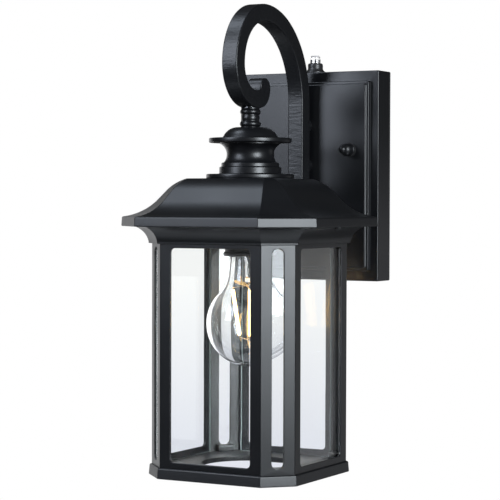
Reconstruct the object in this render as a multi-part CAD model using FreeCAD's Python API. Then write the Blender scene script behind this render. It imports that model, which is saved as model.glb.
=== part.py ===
import FreeCAD, Part
import math
import os
from FreeCAD import Vector

# Outdoor wall lantern: a glazed cage with chamfered corners hung from a scroll arm on a wall plate.
# The origin is the centre of the plate's wall face. +Z is up, and the lantern hangs out towards -Y.

# ---- driving dimensions, in millimetres and degrees ----

# plan of the lantern: every level is one chamfered square, whose corner faces stand this much further out
corner_gain = 11.2
eaves_half = 76.0
eaves_overhang = 20.0        # cage's face out to the eaves
eaves_gap = 7.0              # eaves to the wall plate's panel
lantern_drop = 208.1         # plate centre down to the base's underside

# base casting
base_ledge = 2.0             # how far the base stands out from the cage
base_height = 7.5
base_rim = 3.0
base_floor = 3.5
relamp_radius = 33.0         # opening that the bulb is changed through
edge_round = 0.5

# cage of window frames and slotted corner posts
cage_height = 153.0
cage_wall = 2.0
stile_width = 8.1
sill_height = 4.5
head_height = 2.8
window_corner = 3.0
slot_width = 8.2
slot_foot = 4.1
slot_head = 2.4
lug_depth = 6.0
lug_width = 12.0
lug_foot_height = 4.7
lug_head_height = 2.9

# glazing
glass_thickness = 2.4
glass_cover = 5.0            # how far a pane laps behind each stile
glass_top_gap = 0.7

# cove moulding under the eaves, with the flange that carries the roof
cove_ledge = 2.3             # how far the cove's foot stands out from the cage
cove_foot = 1.2
cove_radius = 13.7
cove_drop = 2.7              # the cove's centre below the top of its foot
cove_rise = 10.8
cove_wall = 2.4
flange_thickness = 1.8
flange_gap = 0.2
ring_lip = 2.4               # thickness of the lip that closes the cage
lip_inset = 8.0              # cage's face in to the lip's opening

# roof
eaves_band = 6.6
eaves_lip = 0.3              # how far the band hangs below the flange
roof_rise = 26.4
roof_wall = 2.2
flare_radius = 36.8
flare_reach = 3.6            # the flare's centre outside the eaves
shoulder_radius = 29.2
shoulder_cut = 1.3           # height that the flat top takes off the shoulder
slope_angle = 48.3

# turned cap and neck spool on the lantern's axis
cap_foot_radius = 30.65
cap_foot_height = 3.2
cap_edge = 0.6               # rounding of the cap's foot and rim
cap_ring_radius = 21.6
cap_ring_foot = 0.5
cap_ring_height = 4.6
cap_ring_round = 1.2
cap_neck_radius = 18.6
cap_neck_foot = 2.2          # height of the slope between the ring and the neck
cap_neck_top = 2.9
cap_waist_radius = 16.4
cap_waist_height = 17.4
cap_flare_radius = 20.9
cap_flare_height = 7.6
cap_flare_band = 0.8
cap_rim_radius = 28.8
cap_rim_height = 3.2
cap_dome_foot = 1.6
cap_dome_radius = 18.7
cap_dome_height = 7.4
spool_foot_radius = 6.9
spool_foot_height = 0.5
spool_bead_radius = 7.4
spool_bead_height = 3.9
spool_groove_radius = 6.05
spool_groove_height = 0.5
spool_waist_radius = 6.4
spool_waist_height = 3.4
spool_head_radius = 7.2
spool_head_height = 3.9
spool_collar_radius = 6.5
spool_collar_height = 1.1

# threaded nipple that hangs the lantern from the arm, and its hardware
nipple_radius = 4.85
nipple_bore = 3.2
nipple_grip = 8.4            # thread held inside the arm
nipple_nut_flats = 14.0
nipple_nut_height = 4.0
nipple_washer_radius = 9.5
nipple_washer_height = 1.0

# scroll arm
bar_width = 12.0
bar_thickness = 12.0
loop_radius = 43.4
scroll_radius = 29.4
crook_offset = 0.8           # the scroll's centre in front of the lantern's axis
lobe_radius = 14.0
lobe_offset = 4.7            # lobe centre, from the lantern's axis towards the wall
tip_radius = 7.0
tip_blend = 3.0
arm_edge = 0.75
tail_rise = 2.0              # height of the rounded end of the bar
boss_radius = 5.0
boss_length = 3.7
boss_low = 7.9
boss_pitch = 29.0
bar_tail = 16.0

# wall plate: a pan with a raised, stepped panel
plate_width = 114.0
plate_height = 152.6
plate_depth = 18.4
plate_wall = 2.2
plate_edge = 1.0
panel_side = 6.2             # plate's edge in to the panel, at the sides and at the ends
panel_end = 7.5
panel_rise = 3.6
panel_ledge = 2.1
panel_step = 1.5
panel_corner = 1.6
gasket_thickness = 2.0
gasket_width = 6.0

# bracket on the junction box, with its studs and the cap nuts that clamp the plate
bracket_height = 18.9        # bracket centre above the plate centre
bracket_thickness = 2.0
bracket_width = 22.0
bracket_span = 94.0
bracket_margin = 5.2         # plate's top edge down to the bracket's end
bracket_setback = 2.6        # wall face to the bracket's back
box_slot_pitch = 79.8
box_slot_length = 14.4
box_slot_radius = 2.4
bracket_bore = 5.0
bracket_corner = 3.0
stud_pitch = 73.0
stud_radius = 2.0
stud_head_radius = 3.8
stud_head_height = 2.2
locknut_flats = 7.0
locknut_height = 3.2
nut_radius = 4.7
nut_waist_radius = 4.4
nut_flange_height = 1.8
nut_edge = 0.5
nut_height = 13.5
nut_tip_radius = 2.9
nut_thread_depth = 5.0
nut_dome_foot = 1.8          # bevel between the waist and the hollow shoulder
washer_radius = 5.0
washer_thickness = 1.0
ground_offset = 17.0
ground_radius = 1.9
ground_head_flats = 6.9
ground_flange_radius = 4.6
ground_flange_height = 0.8
ground_head_height = 2.6
ground_length = 4.0

# small screws
screw_radius = 1.5
screw_head_radius = 2.75
screw_head_height = 1.8
screw_grip = 2.7
pan_rounding = 0.6           # share of a head's height that its rim is rounded
drive_share = 1.2            # width of the drive recess, in shank radii
arm_screw_radius = 2.0
arm_screw_head_radius = 3.9
arm_screw_head_height = 2.6
arm_screw_grip = 9.0
roof_screw_inset = 7.5       # screw axis in from the eaves' face
roof_boss_radius = 3.6

# dusk sensor on top of the plate
sensor_setback = 8.9         # sensor axis in front of the wall face
sensor_flange_radius = 7.6
sensor_flange_height = 1.3
sensor_foot_radius = 7.1
sensor_body_radius = 5.6
sensor_top_radius = 5.4
sensor_height = 7.3
sensor_lens_radius = 3.5
sensor_lens_height = 5.6
sensor_lens_wall = 0.8
sensor_lens_seat = 4.0
sensor_barrel_radius = 4.6
sensor_barrel_length = 6.0
sensor_nut_flats = 12.0
sensor_nut_height = 3.0
sensor_bore = 1.6
sensor_cell_radius = 2.0
sensor_cell_height = 1.2
sensor_edge = 0.4
lens_rib_count = 10
lens_rib_radius = 0.55

# lamp holder
holder_radius = 17.25
holder_rim_radius = 18.5
holder_rim_height = 3.0
holder_edge = 0.6
holder_depth = 32.5          # mouth up to the holder's ceiling
holder_bore = 15.1
holder_mouth = 9.0           # mouth below the cage's top
holder_crown = 2.0
holder_crown_round = 3.0
holder_hub_radius = 8.5
holder_hub_height = 4.0
insulator_height = 2.6
shell_wall = 0.45
shell_height = 24.0
shell_end_bore = 9.5
contact_width = 5.0
contact_thickness = 0.6
contact_drop = 1.7
contact_reach = 7.0

# bulb
globe_radius = 30.0
bulb_length = 104.9
bulb_cap_radius = 13.1
bulb_cap_length = 18.5
bulb_cap_wall = 0.8
bulb_cap_cone = 2.4
bulb_neck_radius = 13.7
bulb_neck_taper = 6.5
bulb_blend_radius = 25.0
bulb_wall = 0.9
bulb_spigot = 4.0
bulb_insulator_radius = 9.0
bulb_insulator_height = 4.2
bulb_tip_radius = 4.4
bulb_tip_height = 1.3
stem_radius = 3.4
stem_length = 23.4
stem_flare_radius = 5.0
stem_flare_height = 4.0
stem_flare_foot = 11.0       # where the flare has run out into the tube
stem_press = 5.0             # length of the solid pressed end
filament_radius = 0.9
filament_length = 32.0
filament_top_spread = 11.7
filament_foot_spread = 7.0
filament_count = 4
filament_turn = 28.8
filament_drop = 4.0
wire_radius = 0.3
mast_radius = 0.48

# fits
tiny = 0.001                 # keeps a rounded end from closing on itself
thread_clearance = 0.05
pass_clearance = 0.2
turning_clearance = 0.08
contact_clearance = 0.3

# ---- levels and positions worked out from them ----

panel_width = plate_width - 2 * panel_side
panel_height = plate_height - 2 * panel_end
plate_face = gasket_thickness + plate_depth
panel_face = plate_face + panel_rise + panel_step
lantern_reach = panel_face + eaves_gap + eaves_half
axis_y = -lantern_reach
cage_half = eaves_half - eaves_overhang
base_half = cage_half + base_ledge
cove_half = cage_half + cove_ledge
lip_half = cage_half - lip_inset
base_z = -lantern_drop
floor_z = base_z + base_height
cage_top = floor_z + cage_height
flange_z = cage_top + cove_foot + cove_rise
flange_top = flange_z + flange_thickness
eaves_z = flange_z - eaves_lip
roof_foot = eaves_z + eaves_band
roof_top = roof_foot + roof_rise
cap_ring_z = roof_top + cap_foot_height + cap_ring_foot
cap_waist_z = roof_top + cap_waist_height
cap_rim_z = cap_waist_z + cap_flare_height
cap_top = cap_rim_z + cap_rim_height + cap_dome_height
spool_bead_z = cap_top + spool_foot_height
spool_waist_z = spool_bead_z + spool_bead_height + spool_groove_height
spool_head_z = spool_waist_z + spool_waist_height + spool_groove_height
spool_collar_z = spool_head_z + spool_head_height
arm_z = spool_collar_z + spool_collar_height
scroll_z = arm_z + scroll_radius

bracket_rise = plate_height - 2 * (bracket_height + bracket_margin)
bar_back = -(panel_face + boss_length)
scroll_y = axis_y - crook_offset
loop_y = scroll_y + loop_radius - scroll_radius
sweep_radius = bar_back - loop_y
bar_top = scroll_z + loop_radius - sweep_radius

mouth_z = cage_top - holder_mouth
ceiling_z = mouth_z + holder_depth
hub_top = ceiling_z + holder_crown + holder_hub_height
nipple_foot = ceiling_z + holder_crown / 2
tip_top = ceiling_z - insulator_height - contact_drop - contact_clearance
globe_z = tip_top - bulb_length + globe_radius
sides = ("front", "right", "back", "left")
corners = ("front_right", "back_right", "back_left", "front_left")


# ---- helpers ----

def block(x0, x1, y0, y1, z0, z1):
    """Box between two corners."""
    return Part.makeBox(x1 - x0, y1 - y0, z1 - z0, Vector(x0, y0, z0))


def rod(radius, start, end):
    """Round bar from one point to another."""
    start = Vector(*start)
    along = Vector(*end) - start
    return Part.makeCylinder(radius, along.Length, start, along)


def upright(radius, z0, z1, x=0.0, y=axis_y):
    """Round bar that stands on the given point."""
    return rod(radius, (x, y, z0), (x, y, z1))


def outline(*stops):
    """Closed planar wire in X and Z. A stop is (x, z), or (mid x, mid z, x, z) for an arc through mid."""
    points = [Vector(stop[-2], 0, stop[-1]) for stop in stops]
    edges = []
    for start, stop, end in zip([points[-1]] + points[:-1], stops, points):
        if len(stop) == 4:
            edges.append(Part.Arc(start, Vector(stop[0], 0, stop[1]), end).toShape())
        elif (end - start).Length > 1e-6:
            edges.append(Part.makeLine(start, end))
    return Part.Wire(edges)


def turned(*stops, x=0.0, y=axis_y):
    """Solid of revolution about a vertical axis: the outline's x is the radius."""
    face = Part.Face(outline(*stops))
    solid = face.revolve(Vector(0, 0, 0), Vector(0, 0, 1), 360)
    return moved(solid, x, y, 0)


def moved(shape, x, y, z):
    """Copy of a shape, shifted."""
    copy = shape.copy()
    copy.translate(Vector(x, y, z))
    return copy


def spun(shape, angle):
    """Copy of a shape, turned about the lantern's axis."""
    copy = shape.copy()
    copy.rotate(Vector(0, axis_y, 0), Vector(0, 0, 1), angle)
    return copy


def laid_back(shape, x, y, z):
    """Copy of an upright shape laid with its +Z along -Y, then moved to a point."""
    copy = shape.copy()
    copy.rotate(Vector(0, 0, 0), Vector(1, 0, 0), 90)
    copy.translate(Vector(x, y, z))
    return copy


def hex_prism(flats, height):
    """Hexagonal prism that stands on the origin."""
    corner = Vector(flats / math.sqrt(3), 0, 0)
    points = [FreeCAD.Rotation(Vector(0, 0, 1), 60 * k).multVec(corner) for k in range(7)]
    return Part.Face(Part.makePolygon(points)).extrude(Vector(0, 0, height))


def hex_nut(flats, height, bore):
    """Hexagonal nut with chamfered corners."""
    corner = flats / math.sqrt(3)
    blank = hex_prism(flats, height)
    turned_blank = Part.makeCylinder(corner, height)
    turned_blank = turned_blank.makeChamfer(corner - flats / 2, circle_edges(turned_blank, corner))
    return blank.common(turned_blank).cut(Part.makeCylinder(bore, height))


def circle_edges(shape, radius):
    """Round edges of one radius."""
    return [e for e in shape.Edges if hasattr(e.Curve, "Radius") and abs(e.Curve.Radius - radius) < 1e-6]


def low_corner(x, z, radius):
    """Stops of a rounded corner between a level underside and the upright face above it."""
    ease = radius * (1 - math.sqrt(0.5))
    return (x - radius, z), (x - ease, z + ease, x, z + radius)


def high_corner(x, z, radius):
    """Stops of a rounded corner between an upright face and the level top."""
    ease = radius * (1 - math.sqrt(0.5))
    return (x, z - radius), (x - ease, z - ease, x - radius, z)


def pan_screw(radius, head_radius, head_height, length):
    """Pan-head screw with its seat at the origin, its shank along +Z and its head below."""
    head = Part.makeCylinder(head_radius, head_height, Vector(0, 0, -head_height))
    rim = [e for e in circle_edges(head, head_radius) if e.BoundBox.ZMax < 0]
    head = head.makeFillet(head_height * pan_rounding, rim)
    drive = moved(hex_prism(radius * drive_share, head_height / 2), 0, 0, -head_height)
    return head.fuse(Part.makeCylinder(radius, length)).removeSplitter().cut(drive)


def octagon_points(half, z):
    """Corners of the lantern's chamfered square, from the front face's right end anticlockwise."""
    flat = math.sqrt(2) * (half + corner_gain) - half
    quarter = [(flat, -half), (half, -flat)]
    points = []
    for turn in range(4):
        for x, y in quarter:
            for _ in range(turn):
                x, y = -y, x
            points.append(Vector(x, axis_y + y, z))
    return points


def octagon(half, z0, z1):
    """Prism on the lantern's chamfered square."""
    points = octagon_points(half, z0)
    return Part.Face(Part.makePolygon(points + points[:1])).extrude(Vector(0, 0, z1 - z0))


def moulded(profile):
    """Solid whose section at each height is the chamfered square: profile(gain) is half of its outline."""
    solid = None
    for turn in range(4):
        gain = corner_gain if turn % 2 else 0.0
        length = 2.4 * (eaves_half + corner_gain)
        run = Part.Face(outline(*profile(gain))).extrude(Vector(0, length, 0))
        run = run.fuse(run.mirror(Vector(0, 0, 0), Vector(1, 0, 0))).removeSplitter()
        run = spun(moved(run, 0, axis_y - length / 2, 0), 45 * turn)
        solid = run if solid is None else solid.common(run)
    return solid


def sector(first, z0, z1):
    """Mitred length of the cage's wall between two corners of its plan."""
    outer = octagon_points(cage_half, z0)
    inner = octagon_points(cage_half - cage_wall, z0)
    second = (first + 1) % 8
    ring = [outer[first], outer[second], inner[second], inner[first], outer[first]]
    return Part.Face(Part.makePolygon(ring)).extrude(Vector(0, 0, z1 - z0))


def rounded_slab(width, z0, z1, radius, y0, y1):
    """Upright slab with rounded corners, across the front."""
    x = width / 2
    k = radius * (1 - math.sqrt(0.5))
    wire = outline(
        (-x + radius, z0),
        (x - radius, z0),
        (x - k, z0 + k, x, z0 + radius),
        (x, z1 - radius),
        (x - k, z1 - k, x - radius, z1),
        (-x + radius, z1),
        (-x + k, z1 - k, -x, z1 - radius),
        (-x, z0 + radius),
        (-x + k, z0 + k, -x + radius, z0),
    )
    return moved(Part.Face(wire).extrude(Vector(0, y1 - y0, 0)), 0, y0, 0)


# ---- lantern body ----

def make_base_ring():
    """Base casting: a rim round a floor with the relamping opening."""
    ring = octagon(base_half, base_z, floor_z)
    ring = ring.makeFillet(edge_round, ring.Edges)
    ring = ring.cut(octagon(base_half - base_rim, base_z, floor_z - base_floor))
    ring = ring.cut(upright(relamp_radius, base_z, floor_z))
    for shaft in corner_rods(screw_radius + pass_clearance, base_z, floor_z):
        ring = ring.cut(shaft)
    return ring


def lug_distance():
    """Distance of the corner screws from the lantern's axis."""
    return cage_half - cage_wall + corner_gain - lug_depth / 2


def corner_rods(radius, z0, z1):
    """Four upright rods on the corner screws' axes."""
    first = upright(radius, z0, z1, x=0.0, y=axis_y - lug_distance())
    return [spun(first, 45 + 90 * k) for k in range(4)]


def corner_screws(seat_z, way):
    """Four screws at the corners, driven up (way 1) or down (way -1) from their seat."""
    grip = base_floor if way > 0 else ring_lip
    screw = pan_screw(screw_radius, screw_head_radius, screw_head_height, grip + screw_grip)
    if way < 0:
        screw.rotate(Vector(0, 0, 0), Vector(1, 0, 0), 180)
    screw = moved(screw, 0, axis_y - lug_distance(), seat_z)
    return [spun(screw, 45 + 90 * k) for k in range(4)]


def make_window_frame(turn):
    """One side of the cage: two stiles, a sill and a head round a window with rounded corners."""
    frame = sector(7, floor_z, cage_top)
    half_flat = octagon_points(cage_half, 0)[0].x
    width = 2 * (half_flat - stile_width)
    window = rounded_slab(
        width, floor_z + sill_height, cage_top - head_height, window_corner,
        axis_y - cage_half - 1, axis_y - cage_half + cage_wall + 1,
    )
    return spun(frame.cut(window), 90 * turn)


def make_corner_post(turn):
    """Slotted corner strip of the cage, with a lug at each end for the corner screws."""
    post = spun(sector(0, floor_z, cage_top), -45)
    face_y = axis_y - cage_half - corner_gain
    inner_y = face_y + cage_wall
    slot = rounded_slab(
        slot_width, floor_z + slot_foot, cage_top - slot_head, slot_width / 2 - tiny, face_y - 1, inner_y + 1,
    )
    x = lug_width / 2
    for z0, z1 in ((floor_z, floor_z + lug_foot_height), (cage_top - lug_head_height, cage_top)):
        post = post.fuse(block(-x, x, inner_y, inner_y + lug_depth, z0, z1))
    post = post.removeSplitter().cut(slot)
    tapped = spun(corner_rods(screw_radius + thread_clearance, floor_z, cage_top)[0], -45)
    return spun(post.cut(tapped), 45 + 90 * turn)


def make_glass_pane(turn):
    """Flat pane behind one window, standing on the base's floor."""
    half_flat = octagon_points(cage_half, 0)[0].x
    width = 2 * (half_flat - stile_width + glass_cover)
    y0 = axis_y - cage_half + cage_wall
    pane = block(-width / 2, width / 2, y0, y0 + glass_thickness, floor_z, cage_top - glass_top_gap)
    return spun(pane, 90 * turn)


def cove_outline(inset, foot_z, top_z, flange=None):
    """Half section of the cove, set in by a wall: foot, hollow quarter round and perhaps a flange."""
    cove_z = cage_top + cove_foot
    centre_z = cove_z - cove_drop
    radius = cove_radius + inset
    start = math.asin(cove_drop / radius)
    end = math.asin((cove_drop + cove_rise) / radius)
    middle = (start + end) / 2

    def profile(gain):
        centre = cove_half + gain + math.sqrt(cove_radius ** 2 - cove_drop ** 2)
        foot = centre - radius * math.cos(start)
        brow = centre - radius * math.cos(end)
        edge = flange + gain if flange else brow
        return (
            (0, foot_z),
            (foot, foot_z),
            (foot, cove_z),
            (centre - radius * math.cos(middle), centre_z + radius * math.sin(middle), brow, flange_z),
            (edge, flange_z),
            (edge, top_z),
            (0, top_z),
        )

    return profile


def make_top_ring():
    """Cove moulding under the eaves, with a lip over the cage and a flange, spot-faced for the roof's screws."""
    ring = moulded(cove_outline(0.0, cage_top, flange_top, eaves_half - roof_wall - flange_gap))
    ring = ring.cut(octagon(lip_half, cage_top - 1, flange_top + 1))
    ring = ring.cut(moulded(cove_outline(cove_wall, cage_top + ring_lip, flange_top + 1)))
    for shaft in corner_rods(screw_radius + pass_clearance, cage_top - 1, cage_top + ring_lip + 1):
        ring = ring.cut(shaft)
    head_z = flange_z - screw_head_height - contact_clearance
    for x in roof_screw_places():
        ring = ring.cut(upright(screw_radius + pass_clearance, flange_z - 1, flange_top + 1, x=x))
        ring = ring.cut(upright(screw_head_radius + pass_clearance, head_z, flange_z, x=x))
    return ring


def roof_screw_places():
    """X of the two screws that go up through the flange into the roof."""
    return (-(eaves_half - roof_screw_inset), eaves_half - roof_screw_inset)


def roof_outline(inset, foot_z):
    """Half section of the ogee, set in by a wall: band, concave flare, straight slope, shoulder and flat top."""
    slope = math.radians(slope_angle)
    sine, cosine, tangent = math.sin(slope), math.cos(slope), math.tan(slope)
    flare = flare_radius + inset
    shoulder = shoulder_radius - inset
    flare_z = roof_foot + math.sqrt(flare_radius ** 2 - flare_reach ** 2)
    shoulder_z = roof_top + shoulder_cut - shoulder_radius
    run = (shoulder_z + shoulder_radius * cosine - (flare_z - flare_radius * cosine)) / tangent
    start = math.asin((flare_reach + inset) / flare)
    middle = (start + slope) / 2
    crest = math.acos((shoulder - shoulder_cut) / shoulder)
    brow = (crest + slope) / 2

    def profile(gain):
        edge = eaves_half + gain
        flare_x = edge + flare_reach
        shoulder_x = flare_x - flare_radius * sine - run - shoulder_radius * sine
        top = shoulder_z + shoulder * math.cos(crest)
        return (
            (0, foot_z),
            (edge - inset, foot_z),
            (edge - inset, flare_z - flare * math.cos(start)),
            (
                flare_x - flare * math.sin(middle), flare_z - flare * math.cos(middle),
                flare_x - flare * sine, flare_z - flare * cosine,
            ),
            (shoulder_x + shoulder * sine, shoulder_z + shoulder * cosine),
            (
                shoulder_x + shoulder * math.sin(brow), shoulder_z + shoulder * math.cos(brow),
                shoulder_x + shoulder * math.sin(crest), top,
            ),
            (0, top),
        )

    return profile


def make_roof():
    """Ogee roof shell with two screw bosses inside the eaves."""
    outer = moulded(roof_outline(0.0, eaves_z))
    inner = moulded(roof_outline(roof_wall, eaves_z - 1))
    roof = outer.cut(inner)
    for x in roof_screw_places():
        boss = upright(roof_boss_radius, flange_top, roof_foot + flare_radius, x=x).common(outer)
        roof = roof.fuse(boss)
        depth = flange_top + screw_grip + contact_clearance
        roof = roof.cut(upright(screw_radius + thread_clearance, flange_top, depth, x=x))
    return roof.cut(upright(nipple_radius + pass_clearance, eaves_z, roof_top + 1)).removeSplitter()


def make_roof_screws():
    """Two screws from below through the flange into the roof's bosses."""
    screw = pan_screw(screw_radius, screw_head_radius, screw_head_height, flange_thickness + screw_grip)
    return [moved(screw, x, axis_y, flange_z) for x in roof_screw_places()]


# ---- cap, neck and hanging hardware ----

def make_roof_cap():
    """Turned cap: foot flange, ring, concave waist, rim and shallow dome."""
    bore = nipple_radius + pass_clearance
    foot_top = roof_top + cap_foot_height
    ring_top = cap_ring_z + cap_ring_height
    rim_top = cap_rim_z + cap_rim_height
    return turned(
        (bore, roof_top),
        *low_corner(cap_foot_radius, roof_top, cap_edge),
        *high_corner(cap_foot_radius, foot_top, cap_edge),
        (cap_ring_radius + cap_ring_round, foot_top),
        (cap_ring_radius, cap_ring_z),
        *high_corner(cap_ring_radius, ring_top, cap_ring_round),
        (cap_neck_radius + cap_edge, ring_top + cap_neck_foot),
        (cap_neck_radius, ring_top + cap_neck_top),
        (cap_waist_radius, cap_waist_z, cap_flare_radius, cap_rim_z - cap_flare_band),
        (cap_flare_radius, cap_rim_z),
        *low_corner(cap_rim_radius, cap_rim_z, cap_edge),
        *high_corner(cap_rim_radius, rim_top, cap_edge),
        (cap_dome_radius + cap_ring_round, rim_top),
        (cap_dome_radius, rim_top + cap_dome_foot),
        (cap_dome_radius * 0.86, rim_top + cap_dome_height * 0.66, cap_dome_radius * 0.58, cap_top),
        (bore, cap_top),
    )


def bead(radius, z, height):
    """Stops of a half-round bead that stands out of the spool's grooves."""
    return (spool_groove_radius, z), (radius, z + height / 2, spool_groove_radius, z + height)


def make_neck_spool():
    """Turned spool between the cap and the arm: foot, three beads with grooves between them, and collar."""
    bore = nipple_radius + pass_clearance
    return turned(
        (bore, cap_top),
        (spool_foot_radius, cap_top),
        (spool_foot_radius, spool_bead_z),
        *bead(spool_bead_radius, spool_bead_z, spool_bead_height),
        *bead(spool_waist_radius, spool_waist_z, spool_waist_height),
        *bead(spool_head_radius, spool_head_z, spool_head_height),
        (spool_collar_radius, spool_collar_z),
        (spool_collar_radius, arm_z),
        (bore, arm_z),
    )


def make_hanger_nipple():
    """Threaded tube from the arm down through the neck, cap and roof to the lamp holder."""
    tube = upright(nipple_radius, nipple_foot, arm_z + nipple_grip)
    return tube.cut(upright(nipple_bore, nipple_foot, arm_z + nipple_grip))


def make_nipple_washer():
    """Washer under the roof's top."""
    top = roof_top - roof_wall
    washer = upright(nipple_washer_radius, top - nipple_washer_height, top)
    return washer.cut(upright(nipple_radius + pass_clearance, top - nipple_washer_height, top))


def make_nipple_nuts():
    """Two hexagonal nuts: one clamps the roof, the other locks the lamp holder."""
    nut = hex_nut(nipple_nut_flats, nipple_nut_height, nipple_radius + thread_clearance)
    clamp_z = roof_top - roof_wall - nipple_washer_height - nipple_nut_height
    return [moved(nut, 0, axis_y, clamp_z), moved(nut, 0, axis_y, hub_top)]


# ---- scroll arm ----

def polar(centre, radius, angle):
    """Point on a circle in the arm's plane: (towards the wall, up)."""
    turn = math.radians(angle)
    return centre[0] + radius * math.cos(turn), centre[1] + radius * math.sin(turn)


def make_scroll_arm():
    """Cast bar bent to a crook: upright, three quarter arcs that get smaller, and a swollen tip."""
    t = bar_thickness
    tail_z = boss_low - bar_tail
    tail_top = tail_z + tail_rise
    sweep = (loop_y, bar_top)
    loop = (loop_y, scroll_z)
    scroll = (scroll_y, scroll_z)
    lobe = (axis_y + lobe_offset, arm_z + lobe_radius)
    tip = (lobe[0] + lobe_radius - tip_radius, lobe[1])
    inner_z = arm_z + t
    blend_z = inner_z + tip_blend
    blend_y = tip[0] - math.sqrt((tip_radius + tip_blend) ** 2 - (blend_z - tip[1]) ** 2)
    share = tip_radius / (tip_radius + tip_blend)
    on_tip = (tip[0] + share * (blend_y - tip[0]), tip[1] + share * (blend_z - tip[1]))
    facing = math.degrees(math.atan2(on_tip[1] - blend_z, on_tip[0] - blend_y))
    start = math.degrees(math.atan2(on_tip[1] - tip[1], on_tip[0] - tip[0])) % 360
    wire = outline(
        (bar_back, tail_top),
        (bar_back, bar_top),
        polar(sweep, sweep_radius, 45) + polar(sweep, sweep_radius, 90),
        polar(loop, loop_radius, 135) + polar(loop, loop_radius, 180),
        polar(scroll, scroll_radius, 225) + polar(scroll, scroll_radius, 270),
        (lobe[0], arm_z),
        polar(lobe, lobe_radius, 315) + polar(lobe, lobe_radius, 360),
        polar(tip, tip_radius, start / 2) + on_tip,
        polar((blend_y, blend_z), tip_blend, (facing - 90) / 2) + (blend_y, inner_z),
        (scroll[0], inner_z),
        polar(scroll, scroll_radius - t, 225) + polar(scroll, scroll_radius - t, 180),
        polar(loop, loop_radius - t, 135) + polar(loop, loop_radius - t, 90),
        polar(sweep, sweep_radius - t, 45) + (bar_back - t, bar_top),
        (bar_back - t, tail_top),
        (bar_back - t / 2, tail_z, bar_back, tail_top),
    )
    arm = moved(Part.Face(wire).extrude(Vector(0, bar_width, 0)), 0, -bar_width / 2, 0)
    arm.rotate(Vector(0, 0, 0), Vector(0, 0, 1), 90)
    for z in boss_levels():
        arm = arm.fuse(rod(boss_radius, (0, -panel_face, z), (0, bar_back - bar_thickness / 2, z)))
    arm = arm.removeSplitter()
    for z in boss_levels():
        depth = panel_face + arm_screw_grip + contact_clearance
        arm = arm.cut(rod(arm_screw_radius + thread_clearance, (0, -panel_face, z), (0, -depth, z)))
    socket_top = arm_z + nipple_grip + contact_clearance
    arm = arm.cut(upright(nipple_radius + thread_clearance, arm_z, socket_top))
    flanks = [e for e in arm.Edges if abs(abs(e.CenterOfMass.x) - bar_width / 2) < 1e-6]
    return arm.makeFillet(arm_edge, flanks)


def boss_levels():
    """Heights of the two bosses that hold the arm off the plate."""
    return (boss_low, boss_low + boss_pitch)


def make_arm_screws():
    """Two screws from inside the plate into the arm's bosses."""
    length = plate_wall + arm_screw_grip
    screw = pan_screw(arm_screw_radius, arm_screw_head_radius, arm_screw_head_height, length)
    return [laid_back(screw, 0, plate_wall - panel_face, z) for z in boss_levels()]


# ---- wall plate, bracket and dusk sensor ----

def make_back_plate():
    """Pan with a raised panel in two steps, hollow from behind."""
    x, z = plate_width / 2, plate_height / 2
    pan = block(-x, x, -plate_face, -gasket_thickness, -z, z)
    pan = pan.makeFillet(plate_edge, front_edges(pan, -plate_face) + deep_edges(pan))
    low_x, low_z, low_y = panel_width / 2, panel_height / 2, -(plate_face + panel_rise)
    low = block(-low_x, low_x, low_y, -plate_face + plate_wall / 2, -low_z, low_z)
    low = low.makeFillet(panel_corner, deep_edges(low))
    top_x, top_z = low_x - panel_ledge, low_z - panel_ledge
    top = block(-top_x, top_x, -panel_face, low_y + plate_wall / 2, -top_z, top_z)
    top = top.makeFillet(panel_corner, deep_edges(top))
    top = top.makeFillet(edge_round, front_edges(top, -panel_face))
    plate = pan.fuse([low, top]).removeSplitter()
    wall = plate_wall
    plate = plate.cut(block(-x + wall, x - wall, -plate_face + wall, 1, -z + wall, z - wall))
    plate = plate.cut(block(-top_x + wall, top_x - wall, -panel_face + wall, 1, -top_z + wall, top_z - wall))
    for side in (-1, 1):
        hole_x = side * stud_pitch / 2
        radius = stud_radius + pass_clearance
        plate = plate.cut(rod(radius, (hole_x, -panel_face, bracket_height), (hole_x, 0, bracket_height)))
    for level in boss_levels():
        plate = plate.cut(rod(arm_screw_radius + pass_clearance, (0, -panel_face, level), (0, 0, level)))
    barrel = upright(sensor_barrel_radius + pass_clearance, z - wall - 1, z + 1, y=-sensor_setback)
    return plate.cut(barrel)


def front_edges(shape, y):
    """Edges that lie in the plane at y."""
    return [e for e in shape.Edges if e.BoundBox.YLength < 1e-6 and abs(e.BoundBox.YMin - y) < 1e-6]


def deep_edges(shape):
    """Straight edges that run along Y."""
    return [e for e in shape.Edges if e.BoundBox.XLength < 1e-6 and e.BoundBox.ZLength < 1e-6]


def make_wall_gasket():
    """Foam ring between the plate's rim and the wall."""
    x, z = plate_width / 2, plate_height / 2
    ring = block(-x, x, -gasket_thickness, 0, -z, z)
    ring = ring.makeFillet(plate_edge, deep_edges(ring))
    w = gasket_width
    return ring.cut(block(-x + w, x - w, -gasket_thickness, 0, -z + w, z - w))


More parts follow.
